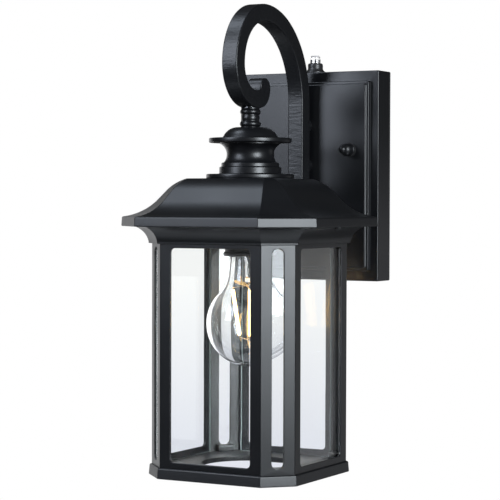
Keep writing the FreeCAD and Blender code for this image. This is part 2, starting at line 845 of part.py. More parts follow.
def make_mounting_bracket():
    """Cross-shaped steel strap: upright slots for the junction box, side holes for the studs."""
    y0, y1 = -bracket_setback - bracket_thickness, -bracket_setback
    w, z = bracket_width / 2, bracket_height
    across = block(-bracket_span / 2, bracket_span / 2, y0, y1, z - w, z + w)
    across = across.makeFillet(bracket_corner, deep_edges(across))
    upward = block(-w, w, y0, y1, z - bracket_rise / 2, z + bracket_rise / 2)
    upward = upward.makeFillet(bracket_corner, deep_edges(upward))
    plate = across.fuse(upward).removeSplitter()
    plate = plate.cut(rod(bracket_bore, (0, y0, z), (0, y1, z)))
    reach = box_slot_length / 2 - box_slot_radius
    for side in (-1, 1):
        slot_z = z + side * box_slot_pitch / 2
        slot = block(-box_slot_radius, box_slot_radius, y0, y1, slot_z - reach, slot_z + reach)
        for end in (slot_z - reach, slot_z + reach):
            slot = slot.fuse(rod(box_slot_radius, (0, y0, end), (0, y1, end)))
        plate = plate.cut(slot)
        stud_x = side * stud_pitch / 2
        plate = plate.cut(rod(stud_radius + thread_clearance, (stud_x, y0, z), (stud_x, y1, z)))
    return plate.cut(rod(ground_radius + thread_clearance, (ground_offset, y0, z), (ground_offset, y1, z)))


def make_bracket_studs():
    """Two screws through the bracket from behind, that stand out as studs for the cap nuts."""
    length = panel_face + washer_thickness + nut_thread_depth - contact_clearance - bracket_setback
    stud = pan_screw(stud_radius, stud_head_radius, stud_head_height, length)
    return [laid_back(stud, side * stud_pitch / 2, -bracket_setback, bracket_height) for side in (-1, 1)]


def make_stud_locknuts():
    """Two hexagonal nuts that lock the studs to the bracket."""
    nut = hex_nut(locknut_flats, locknut_height, stud_radius + thread_clearance)
    y = -bracket_setback - bracket_thickness
    return [laid_back(nut, side * stud_pitch / 2, y, bracket_height) for side in (-1, 1)]


def make_nut_washer(side):
    """Sealing washer under a cap nut."""
    washer = Part.makeCylinder(washer_radius, washer_thickness)
    washer = washer.cut(Part.makeCylinder(stud_radius + turning_clearance, washer_thickness))
    return laid_back(washer, side * stud_pitch / 2, -panel_face, bracket_height)


def make_cap_nut(side):
    """Closed nut: round flange, waist, hollow shoulder and ball tip, with a blind thread."""
    bore = stud_radius + turning_clearance
    shoulder_z = nut_thread_depth + contact_clearance
    ball = (0, nut_height - nut_tip_radius)
    tip_foot = polar(ball, nut_tip_radius, -40)
    nut = turned(
        (0, nut_thread_depth),
        (bore, nut_thread_depth),
        (bore, 0),
        (nut_radius, 0),
        (nut_radius, nut_flange_height - nut_edge),
        (nut_waist_radius, nut_flange_height),
        (nut_waist_radius, shoulder_z),
        (nut_waist_radius - nut_edge, shoulder_z + nut_dome_foot) + tip_foot,
        polar(ball, nut_tip_radius, 25) + (0, nut_height),
        y=0.0,
    )
    y = -panel_face - washer_thickness
    return laid_back(nut, side * stud_pitch / 2, y, bracket_height)


def make_ground_screw():
    """Hexagon-headed screw in the bracket for the earth wire."""
    y = -bracket_setback - bracket_thickness
    head = hex_prism(ground_head_flats, ground_head_height)
    disc = Part.makeCylinder(ground_flange_radius, ground_flange_height)
    shank = moved(Part.makeCylinder(ground_radius, ground_length), 0, 0, -ground_length)
    screw = head.fuse([disc, shank]).removeSplitter()
    return laid_back(screw, ground_offset, y, bracket_height)


def make_sensor_collar():
    """Dusk sensor's housing: flange, hollow flare, body and a barrel through the plate's top."""
    z = plate_height / 2
    top = z + sensor_height
    ease = sensor_foot_radius - sensor_body_radius
    flare = (sensor_foot_radius, z + sensor_flange_height + ease)
    seat = sensor_lens_radius + thread_clearance
    return turned(
        (sensor_bore, z - sensor_barrel_length),
        (sensor_barrel_radius, z - sensor_barrel_length),
        (sensor_barrel_radius, z),
        (sensor_flange_radius, z),
        *high_corner(sensor_flange_radius, z + sensor_flange_height, sensor_edge),
        (sensor_foot_radius, z + sensor_flange_height),
        polar(flare, ease, 225) + polar(flare, ease, 180),
        (sensor_top_radius, top - sensor_edge),
        (sensor_top_radius - sensor_edge, top),
        (seat, top),
        (seat, top - sensor_lens_seat),
        (sensor_bore, top - sensor_lens_seat),
        y=-sensor_setback,
    )


def make_sensor_lens():
    """Clear cap of the dusk sensor, hollow and domed, with a ring of ribs."""
    brim = plate_height / 2 + sensor_height
    foot = brim - sensor_lens_seat
    dome = (0, brim + sensor_lens_height - sensor_lens_radius)
    inner = sensor_lens_radius - sensor_lens_wall
    lens = turned(
        (inner, foot),
        (sensor_lens_radius, foot),
        (sensor_lens_radius, dome[1]),
        polar(dome, sensor_lens_radius, 45) + polar(dome, sensor_lens_radius, 90),
        polar(dome, inner, 90),
        polar(dome, inner, 45) + polar(dome, inner, 0),
        y=-sensor_setback,
    )
    for k in range(lens_rib_count):
        x, y = polar((0, -sensor_setback), sensor_lens_radius, 360 * k / lens_rib_count)
        lens = lens.fuse(upright(lens_rib_radius, brim, dome[1] + lens_rib_radius, x=x, y=y))
    hollow = upright(inner, foot, dome[1], y=-sensor_setback)
    return lens.removeSplitter().cut(hollow)


def make_sensor_cell():
    """Light cell on the floor of the sensor's housing."""
    z = plate_height / 2 + sensor_height - sensor_lens_seat
    return upright(sensor_cell_radius, z, z + sensor_cell_height, y=-sensor_setback)


def make_sensor_nut():
    """Hexagonal nut that holds the sensor from inside the plate."""
    nut = hex_nut(sensor_nut_flats, sensor_nut_height, sensor_barrel_radius + thread_clearance)
    return moved(nut, 0, -sensor_setback, plate_height / 2 - plate_wall - sensor_nut_height)


# ---- lamp holder and bulb ----

def make_lamp_holder():
    """Cup with a flared rim, a closed crown and a threaded hub."""
    bore = nipple_radius + thread_clearance
    rim_z = mouth_z + holder_rim_height
    crown_z = ceiling_z + holder_crown
    return turned(
        (holder_bore, mouth_z),
        (holder_rim_radius, mouth_z),
        (holder_rim_radius, rim_z - holder_edge),
        (holder_radius, rim_z),
        *high_corner(holder_radius, crown_z, holder_crown_round),
        (holder_hub_radius, crown_z),
        (holder_hub_radius, hub_top),
        (bore, hub_top),
        (bore, ceiling_z),
        (holder_bore, ceiling_z),
    )


def make_socket_insulator():
    """Insulating disc under the holder's crown that carries the shell and the contact."""
    return upright(holder_bore - pass_clearance / 2, ceiling_z - insulator_height, ceiling_z)


def make_screw_shell():
    """Brass shell that the bulb's cap turns in."""
    top = ceiling_z - insulator_height
    inner = bulb_cap_radius + turning_clearance
    return turned(
        (inner, top - shell_height),
        (inner + shell_wall, top - shell_height),
        (inner + shell_wall, top),
        (shell_end_bore, top),
        (shell_end_bore, top - shell_wall),
        (inner, top - shell_wall),
    )


def make_centre_contact():
    """Bent brass tongue above the bulb's tip, hung from the insulator."""
    top = ceiling_z - insulator_height
    x, t = contact_width / 2, contact_thickness
    low = tip_top + contact_clearance
    tongue = block(-x, x, axis_y - contact_reach, axis_y + x, low, low + t)
    leg = block(-x, x, axis_y - contact_reach, axis_y - contact_reach + t, low, top)
    return tongue.fuse(leg).removeSplitter()


def bulb_levels():
    """Heights of the bulb: foot of its cap, end of its cap, foot of its tip."""
    tip_foot = tip_top - bulb_tip_height
    cap_end = tip_foot - bulb_insulator_height
    return cap_end - bulb_cap_length, cap_end, tip_foot


def make_bulb_cap():
    """Screw cap: a plain sleeve at the thread's size, coned at its end, with a recess for the neck."""
    foot, end, _ = bulb_levels()
    recess = spigot_radius() + thread_clearance
    return turned(
        (recess, foot),
        (bulb_cap_radius, foot),
        (bulb_cap_radius, end - bulb_cap_cone),
        (bulb_insulator_radius, end),
        (0, end),
        (0, foot + bulb_spigot + pass_clearance),
        (recess, foot + bulb_spigot + pass_clearance),
    )


def make_bulb_insulator():
    """Glass insulator between the cap and the tip."""
    _, end, tip_foot = bulb_levels()
    return turned((0, end), (bulb_insulator_radius, end), (bulb_tip_radius, tip_foot), (0, tip_foot))


def make_bulb_contact():
    """Low tip of the bulb, coned at its rim."""
    _, _, tip_foot = bulb_levels()
    r = bulb_tip_radius
    brow = (tip_foot + tip_top) / 2
    return turned((0, tip_foot), (r, tip_foot), (r, brow), (r / 2, tip_top), (0, tip_top))


def spigot_radius():
    """Outside radius of the glass where it goes into the cap."""
    return bulb_cap_radius - bulb_cap_wall


def neck_blend():
    """Centre of the arc between the bulb's neck and its globe."""
    foot = bulb_levels()[0]
    taper = math.radians(bulb_neck_taper)
    start_x = bulb_neck_radius + bulb_blend_radius * math.cos(taper)
    start_z = foot + bulb_blend_radius * math.sin(taper) - globe_z
    reach = globe_radius + bulb_blend_radius
    half_b = start_x * math.sin(taper) - start_z * math.cos(taper)
    rest = start_x ** 2 + start_z ** 2 - reach ** 2
    run = -half_b - math.sqrt(half_b ** 2 - rest)
    return start_x + run * math.sin(taper), globe_z + start_z - run * math.cos(taper)


def glass_skin(inset):
    """Stops of the bulb's outline from its pole to the cap's foot, set in by a wall."""
    foot = bulb_levels()[0]
    taper = math.radians(bulb_neck_taper)
    blend_x, blend_z = neck_blend()
    globe, blend = globe_radius - inset, bulb_blend_radius + inset
    meet = math.degrees(math.atan2(blend_z - globe_z, blend_x))
    along = (meet + 180, 180 + bulb_neck_taper)
    neck_x = bulb_neck_radius - inset / math.cos(taper) + inset * math.tan(taper)
    return [
        (0, globe_z - globe),
        polar((0, globe_z), globe, (meet - 90) / 2) + polar((0, globe_z), globe, meet),
        polar((blend_x, blend_z), blend, sum(along) / 2) + polar((blend_x, blend_z), blend, along[1]),
        (neck_x, foot - inset),
    ]


def make_bulb_glass():
    """Blown envelope: globe, blend and tapered neck, open at the spigot inside the cap."""
    foot = bulb_levels()[0]
    outer = glass_skin(0.0)
    inner = glass_skin(bulb_wall)
    radius = spigot_radius()
    solid = turned(*outer, (radius, foot), (radius, foot + bulb_spigot), (0, foot + bulb_spigot))
    bore = radius - bulb_wall
    hollow = turned(*inner, (bore, foot - bulb_wall), (bore, foot + bulb_spigot), (0, foot + bulb_spigot))
    return solid.cut(hollow)


def make_bulb_stem():
    """Glass stem: a flare at the neck that narrows to a tube with a pressed end."""
    foot = bulb_levels()[0]
    end = foot - stem_length
    brim = spigot_radius() - bulb_wall - thread_clearance / 2
    flare_z = foot - stem_flare_height
    tube_z = foot - stem_flare_foot
    bore = stem_radius - bulb_wall
    return turned(
        (brim - bulb_wall, foot + bulb_wall),
        (brim, foot + bulb_wall),
        (brim, foot),
        (stem_flare_radius, flare_z, stem_radius, tube_z),
        (stem_radius, end + bulb_wall),
        (stem_radius - bulb_wall, end),
        (0, end),
        (0, end + stem_press),
        (bore, end + stem_press),
        (bore, tube_z),
        (stem_flare_radius - bulb_wall, flare_z + bulb_wall / 2, brim - bulb_wall, foot),
    )


def filament_ends():
    """Top and foot of each filament."""
    top_z = bulb_levels()[0] - stem_length - filament_drop
    ends = []
    for k in range(filament_count):
        angle = math.radians(filament_turn + 360 * k / filament_count)
        cosine, sine = math.cos(angle), math.sin(angle)
        top = (filament_top_spread * cosine, axis_y + filament_top_spread * sine, top_z)
        foot = (filament_foot_spread * cosine, axis_y + filament_foot_spread * sine, top_z - filament_length)
        ends.append((top, foot))
    return ends


def make_bulb_filaments():
    """Leaning rods that glow."""
    return [rod(filament_radius, top, foot) for top, foot in filament_ends()]


def make_filament_wires():
    """Mast under the stem with an arm to each end of each filament."""
    stem_foot = bulb_levels()[0] - stem_length
    ends = filament_ends()
    mast_foot = ends[0][1][2] - filament_drop
    wires = upright(mast_radius, mast_foot, stem_foot)
    for top, foot in ends:
        wires = wires.fuse(rod(wire_radius, (0, axis_y, stem_foot - wire_radius * 2), top))
        wires = wires.fuse(rod(wire_radius, (0, axis_y, mast_foot + wire_radius), foot))
    for filament in make_bulb_filaments():
        wires = wires.cut(filament)
    return wires


# ---- files ----

def all_nodes():
    """Every node's name with its solid or solids."""
    nodes = {
        "base_ring": make_base_ring(),
        "base_screws": corner_screws(floor_z - base_floor, 1),
        "top_ring": make_top_ring(),
        "top_ring_screws": corner_screws(cage_top + ring_lip, -1),
        "roof": make_roof(),
        "roof_screws": make_roof_screws(),
        "roof_cap": make_roof_cap(),
        "neck_spool": make_neck_spool(),
        "hanger_nipple": make_hanger_nipple(),
        "nipple_washer": make_nipple_washer(),
        "nipple_nuts": make_nipple_nuts(),
        "scroll_arm": make_scroll_arm(),
        "arm_screws": make_arm_screws(),
        "back_plate": make_back_plate(),
        "wall_gasket": make_wall_gasket(),
        "mounting_bracket": make_mounting_bracket(),
        "bracket_studs": make_bracket_studs(),
        "stud_locknuts": make_stud_locknuts(),
        "ground_screw": make_ground_screw(),
        "sensor_collar": make_sensor_collar(),
        "sensor_lens": make_sensor_lens(),
        "sensor_cell": make_sensor_cell(),
        "sensor_nut": make_sensor_nut(),
        "lamp_holder": make_lamp_holder(),
        "socket_insulator": make_socket_insulator(),
        "screw_shell": make_screw_shell(),
        "centre_contact": make_centre_contact(),
        "bulb_cap": make_bulb_cap(),
        "bulb_insulator": make_bulb_insulator(),
        "bulb_contact": make_bulb_contact(),
        "bulb_glass": make_bulb_glass(),
        "bulb_stem": make_bulb_stem(),
        "bulb_filaments": make_bulb_filaments(),
        "filament_wires": make_filament_wires(),
    }
    for turn, side in enumerate(sides):
        nodes["window_frame_" + side] = make_window_frame(turn)
        nodes["glass_pane_" + side] = make_glass_pane(turn)
    for turn, corner in enumerate(corners):
        nodes["corner_post_" + corner] = make_corner_post(turn)
    for name, side in (("left", -1), ("right", 1)):
        nodes["cap_nut_" + name] = make_cap_nut(side)
        nodes["nut_washer_" + name] = make_nut_washer(side)
    return nodes


os.makedirs("parts", exist_ok=True)
for node, shape in all_nodes().items():
    if isinstance(shape, list):
        shape = Part.makeCompound(shape)
    shape.exportStep("parts/" + node + ".step")
    print(node, len(shape.Solids), shape.isValid(), round(shape.Volume, 1))
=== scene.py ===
import math
import bpy
import bmesh
import numpy as np
from mathutils import Matrix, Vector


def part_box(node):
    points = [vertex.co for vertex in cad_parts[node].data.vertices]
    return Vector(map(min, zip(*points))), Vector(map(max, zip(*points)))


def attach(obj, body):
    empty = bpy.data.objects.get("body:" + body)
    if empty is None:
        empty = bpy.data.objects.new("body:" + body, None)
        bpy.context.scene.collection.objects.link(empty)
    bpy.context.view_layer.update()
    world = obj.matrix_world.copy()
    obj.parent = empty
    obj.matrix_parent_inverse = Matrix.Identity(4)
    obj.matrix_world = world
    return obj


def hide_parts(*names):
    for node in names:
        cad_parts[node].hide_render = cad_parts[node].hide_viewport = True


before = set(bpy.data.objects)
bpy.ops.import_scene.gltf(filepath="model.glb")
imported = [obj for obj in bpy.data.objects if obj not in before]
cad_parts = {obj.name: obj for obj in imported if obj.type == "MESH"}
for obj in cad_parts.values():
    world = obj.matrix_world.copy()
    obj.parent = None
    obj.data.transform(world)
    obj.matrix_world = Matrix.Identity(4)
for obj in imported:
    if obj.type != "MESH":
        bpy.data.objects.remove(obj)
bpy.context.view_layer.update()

mm = 0.001
scene = bpy.context.scene
print("frame loaded:", len(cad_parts), "nodes")


class Values(dict):
    # a dictionary whose entries are also read as names
    __getattr__ = dict.__getitem__


def span(node):
    # lowest and highest corners of a node, in millimetres
    low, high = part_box(node)
    return np.array(low) / mm, np.array(high) / mm


roofLow, roofHigh = span("roof")
baseLow, baseHigh = span("base_ring")
axisPoint = np.array([0.0, (roofLow[1] + roofHigh[1]) / 2])   # the lantern's upright axis
eavesHalf = roofHigh[0]
cornerGain = 11.2     # how much farther from the axis than the sides the cut corners lie


view = Values(
    azimuth=28.85,      # degrees from the front towards the right
    elevation=1.507,
    roll=0.159,
    distance=1297.75,   # millimetres from the base's centre, along the line of sight
    across=0.40,
    lift=155.59,
    lens=133.78,
    sensor=36.0,
    clip=(0.01, 20),    # metres
)


def sightAxes(azimuth, elevation):
    # Unit vectors of something that looks at the lantern: right = (cos a, sin a, 0), back from the lantern
    # = (sin a cos e, -cos a cos e, sin e), up = back x right.
    a, e = math.radians(azimuth), math.radians(elevation)
    right = np.array([math.cos(a), math.sin(a), 0])
    back = np.array([math.sin(a) * math.cos(e), -math.cos(a) * math.cos(e), math.sin(e)])
    return right, np.cross(back, right), back


def linked(name, data):
    thing = bpy.data.objects.new(name, data)
    scene.collection.objects.link(thing)
    return thing


def setUp(name, data, axes, place):
    # Stands a camera or lamp at a place, in metres, with its three axes as matrix columns.
    thing = linked(name, data)
    matrix = np.eye(4)
    matrix[:3, :4] = np.stack([*axes, place], axis=1)
    thing.matrix_world = Matrix(matrix.tolist())
    return thing


def makeCamera():
    # The camera stands back from the base's centre, shifted across and up in its own plane; roll turns that
    # plane: right' = right cos r + up sin r.
    right, up, back = sightAxes(view.azimuth, view.elevation)
    r = math.radians(view.roll)
    right, up = right * math.cos(r) + up * math.sin(r), up * math.cos(r) - right * math.sin(r)
    centre = np.array([*axisPoint, baseLow[2]])
    place = centre + right * view.across + up * view.lift + back * view.distance
    data = bpy.data.cameras.new("camera")
    data.lens, data.sensor_width = view.lens, view.sensor
    data.clip_start, data.clip_end = view.clip
    scene.camera = setUp("camera", data, (right, up, back), place * mm)


makeCamera()


def joined(*parts):
    return np.concatenate(parts)


def circle(angle):
    # Points (cos, sin) at these angles: a new last axis.
    return np.stack([np.cos(angle), np.sin(angle)], axis=-1)


def roundedLine(corners, steps=5):
    # A line through corners (across, up, radius) that are arcs: each arc starts radius * tan(turn / 2) before
    # its corner and turns by the angle between the runs. Ends and corners without a radius stay sharp.
    p = np.array([c[:2] for c in corners], float)
    r = np.array([c[2] if len(c) > 2 else 0 for c in corners], float)
    r[[0, -1]] = 0
    before, after = np.roll(p, 1, axis=0), np.roll(p, -1, axis=0)
    into, out = p - before, after - p
    into /= np.maximum(np.linalg.norm(into, axis=1, keepdims=True), 1e-9)
    out /= np.maximum(np.linalg.norm(out, axis=1, keepdims=True), 1e-9)
    turn = np.arctan2(into[:, 0] * out[:, 1] - into[:, 1] * out[:, 0], (into * out).sum(1))
    turn[[0, -1]] = 0
    left = np.stack([-into[:, 1], into[:, 0]], axis=1) * np.sign(turn)[:, None]
    start = p - into * (r * np.tan(np.abs(turn) / 2))[:, None]
    centre = start + left * r[:, None]
    first = np.arctan2(-left[:, 1], -left[:, 0])[:, None]
    angle = first + turn[:, None] * np.linspace(0, 1, steps)
    return (centre[:, None, :] + r[:, None, None] * circle(angle)).reshape(-1, 2)


def arc(centre, radius, first, last, steps=16):
    # Points on a circle from the first angle to the last, in degrees.
    return centre + radius * circle(np.radians(np.linspace(first, last, steps)))


def turnedSheet(profile, centre=None, steps=72, wave=None):
    # Surface of revolution: each profile point (radius, height) goes round the upright axis, its radius
    # changed by wave(angle, height).
    centre = axisPoint if centre is None else centre
    angle = np.linspace(0, 2 * math.pi, steps, endpoint=False)
    radius = profile[:, :1] + (wave(angle[None, :], profile[:, 1:]) if wave else 0)
    return np.dstack([centre + radius[..., None] * circle(angle), profile[:, 1:] + 0 * angle])


def planSheet(section, rounding, steps=5):
    # Moulding: at each point (half, height) of the section the plan is a square with cut corners whose eight
    # sides lie at half, or at half + gain, from the axis. A corner is an arc between two sides' directions.
    half, height = section[:, :1], section[:, 1]
    side = np.arange(8)
    direction = side * math.pi / 4 - math.pi / 2
    distance = half + np.where(side % 2, cornerGain, 0) - rounding
    following = np.roll(distance, -1, axis=1)
    along = (following - distance * math.cos(math.pi / 4)) / math.sin(math.pi / 4)
    out = circle(direction)
    centre = distance[..., None] * out + along[..., None] * out[:, ::-1] * [-1, 1]
    angle = direction[:, None] + np.linspace(0, math.pi / 4, steps)
    plan = (centre[:, :, None] + rounding * circle(angle)).reshape(len(half), -1, 2) + axisPoint
    return np.dstack([plan, height[:, None] + 0 * plan[..., 0]])


def closed(sheet):
    # Joins a sheet's last row to its first.
    return joined(sheet, sheet[:1])


def makePiece(name, sheets, finish, stands, sharp=40, flat=False, body="lantern"):
    # Sheets are grids of points (rows, columns, 3) in millimetres whose columns are joined end to end. Doubled
    # points merge, open ends are filled, and faces look outwards.
    verts, faces, start = [], [], 0
    for sheet in sheets:
        rows, columns = sheet.shape[:2]
        point = start + np.arange(rows * columns).reshape(rows, columns)
        aside = np.roll(point, -1, axis=1)
        verts.append(sheet.reshape(-1, 3) * mm)
        faces.append(np.stack([point[:-1], aside[:-1], aside[1:], point[1:]], axis=2).reshape(-1, 4))
        start += rows * columns
    mesh = bpy.data.meshes.new(name)
    mesh.from_pydata(joined(*verts).tolist(), [], joined(*faces).tolist())
    work = bmesh.new()
    work.from_mesh(mesh)
    bmesh.ops.remove_doubles(work, verts=work.verts, dist=1e-6)
    bmesh.ops.holes_fill(work, edges=[e for e in work.edges if len(e.link_faces) == 1], sides=0)
    bmesh.ops.recalc_face_normals(work, faces=work.faces)
    work.to_mesh(mesh)
    work.free()
    mesh.materials.append(finishes[finish])
    mesh.polygons.foreach_set("use_smooth", np.ones(len(mesh.polygons), bool))
    mesh.set_sharp_from_angle(angle=math.radians(sharp))
    piece = linked(name, mesh)
    if flat:
        # broad faces stay flat beside small roundings
        piece.modifiers.new("flats", "WEIGHTED_NORMAL").keep_sharp = True
    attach(piece, body)
    if stands:
        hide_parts(*stands)


class Wire:
    # One output of a node: arithmetic on it adds Math nodes to its tree.
    def __init__(self, writer, socket):
        self.writer, self.socket = writer, socket

    def math(self, operation, other=0.0):
        return self.writer.node("Math", {0: self, 1: other}, operation=operation)

    def __add__(self, other):
        return self.math("ADD", other)

    def __sub__(self, other):
        return self.math("SUBTRACT", other)

    def __rsub__(self, other):
        return self * -1 + other

    def __mul__(self, other):
        return self.math("MULTIPLY", other)

    __radd__ = __add__
    __rmul__ = __mul__


class Writer:
    # Writes nodes into a tree: node() adds any node, settings first, then the values or links of its sockets.
    def __init__(self, tree):
        self.tree = tree
        tree.nodes.clear()

    def node(self, kind, inputs=None, output=0, **settings):
        made = self.tree.nodes.new("ShaderNode" + kind)
        for name, value in settings.items():
            setattr(made, name, value)
        for name, value in (inputs or {}).items():
            if isinstance(value, Wire):
                self.tree.links.new(value.socket, made.inputs[name])
            else:
                made.inputs[name].default_value = value
        return Wire(self, made.outputs[output] if made.outputs else None)

    def blend(self, factor, first, second):
        return self.node("Mix", {"Factor": factor, 6: (*first, 1), 7: (*second, 1)}, 2, data_type="RGBA")


class Finish(Writer):
    # A material being written: surface() closes it with one shader.
    def __init__(self, name):
        self.material = bpy.data.materials.new(name)
        self.material.use_nodes = True
        super().__init__(self.material.node_tree)
        self.place = self.node("TexCoord", output="Object")

    def noise(self, size, detail=2.0, stretch=(1, 1, 1)):
        # grains of about this size in millimetres, drawn out along an axis by its stretch
        scale = tuple(1 / (size * mm * s) for s in stretch)
        placed = self.node("Mapping", {"Vector": self.place, "Scale": scale})
        return self.node("TexNoise", {"Vector": placed, "Scale": 1.0, "Detail": detail})

    def bump(self, height, depth):
        # depth is the relief's full height in millimetres
        return self.node("Bump", {"Strength": 1.0, "Distance": depth * mm, "Height": height})

    def surface(self, **inputs):
        shader = self.node("BsdfPrincipled", {k.replace("_", " "): v for k, v in inputs.items()})
        return self.close(shader)

    def close(self, shader):
        self.node("OutputMaterial", {"Surface": shader})
        return self.material


coat = Values(
    colour=(0.0026, 0.0029, 0.0037),
    dusty=(0.0050, 0.0054, 0.0066),   # where the coat has chalked a little
    roughness=0.31,
    specular=0.50,
    peel=0.010,                    # height of the flow marks, millimetres
    grain=0.006,
)


def powderCoat(name, peel=1.0, castMarks=0.0, matt=0.0):
    # satin black powder coat: fine grain over flow marks a few millimetres long, and for castings slow ripples
    f = Finish(name)
    grain = f.noise(0.35, 2)
    flow = f.noise(3.2, 3)
    patch = f.noise(38, 4)
    height = grain * coat.grain + flow * (coat.peel * peel)
    if castMarks:
        height = height + f.noise(4.2, 2, (2.2, 1, 0.6)) * castMarks
    colour = f.blend(patch * 0.7 + grain * 0.3, coat.colour, coat.dusty)
    rough = coat.roughness + matt - 0.05 + patch * 0.10 + grain * 0.04
    return f.surface(
        Base_Color=colour, Roughness=rough, Specular_IOR_Level=coat.specular,
        Normal=f.bump(height, 1.0),
    )


def plainMetal(name, colour, darker, roughness, grainSize, stretch=(1, 1, 1), relief=0.01):
    # bare or plated metal: colour and gloss change slowly, with grain drawn out along its working direction
    f = Finish(name)
    grain = f.noise(grainSize, 3, stretch)
    patch = f.noise(9, 3)
    shade = f.blend(patch * 0.6 + grain * 0.4, colour, darker)
    return f.surface(
        Base_Color=shade, Metallic=1.0, Roughness=patch * 0.16 + grain * 0.08 + (roughness - 0.12),
        Normal=f.bump(grain, relief),
    )


def moulded(name, colour, paler, roughness, grainSize=0.5, relief=0.02):
    # moulded plastic, rubber, foam or ceramic
    f = Finish(name)
    grain = f.noise(grainSize, 2)
    patch = f.noise(12, 3)
    shade = f.blend(patch * 0.5 + grain * 0.5, colour, paler)
    return f.surface(
        Base_Color=shade, Roughness=grain * 0.12 + (roughness - 0.06), Normal=f.bump(grain, relief),
    )


paneGround = ((0.17, 0.20, 0.20), (0.10, 0.12, 0.12))   # two tones of a pane's ground edge


def clearGlass(name, tint, roughness=0.0, ior=1.5, relief=0.0, edge=None):
    # clear glass that lets lamp light through, so that what stands inside is lit; past this distance from both
    # of the lantern's middle planes a pane is ground
    f = Finish(name)
    smear = f.noise(26, 3)
    inputs = {"Base Color": (*tint, 1), "IOR": ior, "Transmission Weight": 1.0, "Roughness": roughness}
    if relief:
        inputs["Normal"] = f.bump(smear, relief)
    glass = f.node("BsdfPrincipled", inputs)
    through = f.node("BsdfTransparent", {"Color": (*tint, 1)})
    lamp = f.node("LightPath", output="Is Shadow Ray")
    seen = f.node("MixShader", {0: lamp, 1: glass, 2: through})
    if edge:
        frost = f.node("BsdfPrincipled", {"Base Color": f.blend(smear, *paneGround), "Roughness": 0.5})
        x, y = (f.node("SeparateXYZ", {0: f.place}, k) for k in (0, 1))
        nearer = x.math("ABSOLUTE").math("MINIMUM", (y - axisPoint[1] * mm).math("ABSOLUTE"))
        ground = nearer.math("GREATER_THAN", edge * mm)
        seen = f.node("MixShader", {0: ground, 1: seen, 2: frost})
    return f.close(seen)


def glow(name, colour, strength, core):
    # phosphor rod: yellow coat that glows, its glow colour changing with a fine grain between the two given
    # colours
    f = Finish(name)
    grain = f.noise(0.8, 2)
    light = f.blend(grain, colour, core)
    return f.surface(
        Base_Color=(0.9, 0.62, 0.2, 1), Roughness=0.5, Emission_Color=light, Emission_Strength=strength,
        Normal=f.bump(grain, 0.02),
    )


finishes = {
    "coat": powderCoat("blackPowderCoat"),
    "castCoat": powderCoat("blackCastCoat", 1.5, 0.015, 0.05),
    "rippledCoat": powderCoat("blackRippledCoat", 1.5, 0.22, 0.04),
    "paneGlass": clearGlass("paneGlass", (0.985, 0.995, 0.99), 0.0, 1.22, 0.0, 35.7),
    "stripGlass": clearGlass("stripGlass", (0.985, 0.995, 0.99), 0.0, 1.37),
    "bulbGlass": clearGlass("blownGlass", (0.99, 0.995, 0.995), 0.0, 1.47, 0.04),
    "steel": plainMetal("zincSteel", (0.62, 0.63, 0.65), (0.45, 0.45, 0.46), 0.36, 0.7),
    "brass": plainMetal("brass", (0.78, 0.58, 0.28), (0.60, 0.40, 0.16), 0.28, 0.5, (1, 1, 0.2)),
    "nickel": plainMetal("nickelPlate", (0.74, 0.72, 0.68), (0.60, 0.58, 0.54), 0.22, 0.5, (1, 1, 0.2)),
    "solder": plainMetal("solder", (0.66, 0.66, 0.66), (0.48, 0.48, 0.49), 0.42, 0.6),
    "foam": moulded("closedFoam", (0.010, 0.010, 0.011), (0.028, 0.028, 0.028), 0.92, 0.4, 0.12),
    "rubber": moulded("washerRubber", (0.014, 0.014, 0.014), (0.024, 0.024, 0.024), 0.62),
    "phenolic": moulded("phenolic", (0.012, 0.012, 0.013), (0.022, 0.021, 0.021), 0.38, 0.6, 0.012),
    "steatite": moulded("steatite", (0.80, 0.79, 0.75), (0.68, 0.66, 0.61), 0.5, 0.6, 0.02),
    "vitrite": moulded("vitrite", (0.014, 0.012, 0.016), (0.030, 0.026, 0.034), 0.16, 0.9, 0.015),
    "earthGreen": plainMetal("earthGreen", (0.06, 0.34, 0.13), (0.04, 0.24, 0.09), 0.36, 0.6),
    "lens": clearGlass("lensPlastic", (0.95, 0.955, 0.96), 0.05, 1.49, 0.03),
    "cell": moulded("lightCell", (0.42, 0.12, 0.05), (0.62, 0.26, 0.10), 0.35, 0.3, 0.02),
    "phosphor": glow("phosphor", (1.0, 0.50, 0.10), 9.0, (1.0, 0.72, 0.34)),
}
print("finishes written:", len(finishes))


def throughThree(a, b, c, steps=20):
    # The arc through three points: its centre is equally far from all of them.
    a, b, c = (np.array(p, float) for p in (a, b, c))
    centre = np.linalg.solve(2 * np.array([b - a, c - a]), [b @ b - a @ a, c @ c - a @ a])
    first, mid, last = (math.atan2(*(p - centre)[::-1]) for p in (a, b, c))
    mid = first + (mid - first + math.pi) % (2 * math.pi) - math.pi
    last = mid + (last - mid + math.pi) % (2 * math.pi) - math.pi
    angle = np.linspace(first, last, steps)
    return centre + np.linalg.norm(a - centre) * circle(angle)


def quarter(radius, steps):
    # A rounded edge: in from the side by radius * (1 - sin a) and back from the face by radius * (1 - cos a).
    a = np.radians(np.linspace(0, 90, steps))
    return radius * (1 - np.sin(a)), radius * (1 - np.cos(a))


def laidSheet(profile, place, steps=48):
    # A turned surface laid down: its axis runs from the given place towards the front.
    sheet = turnedSheet(np.asarray(profile, float), (0, 0), steps)
    return np.stack([place[0] + sheet[..., 0], place[1] - sheet[..., 2], place[2] + sheet[..., 1]], axis=2)


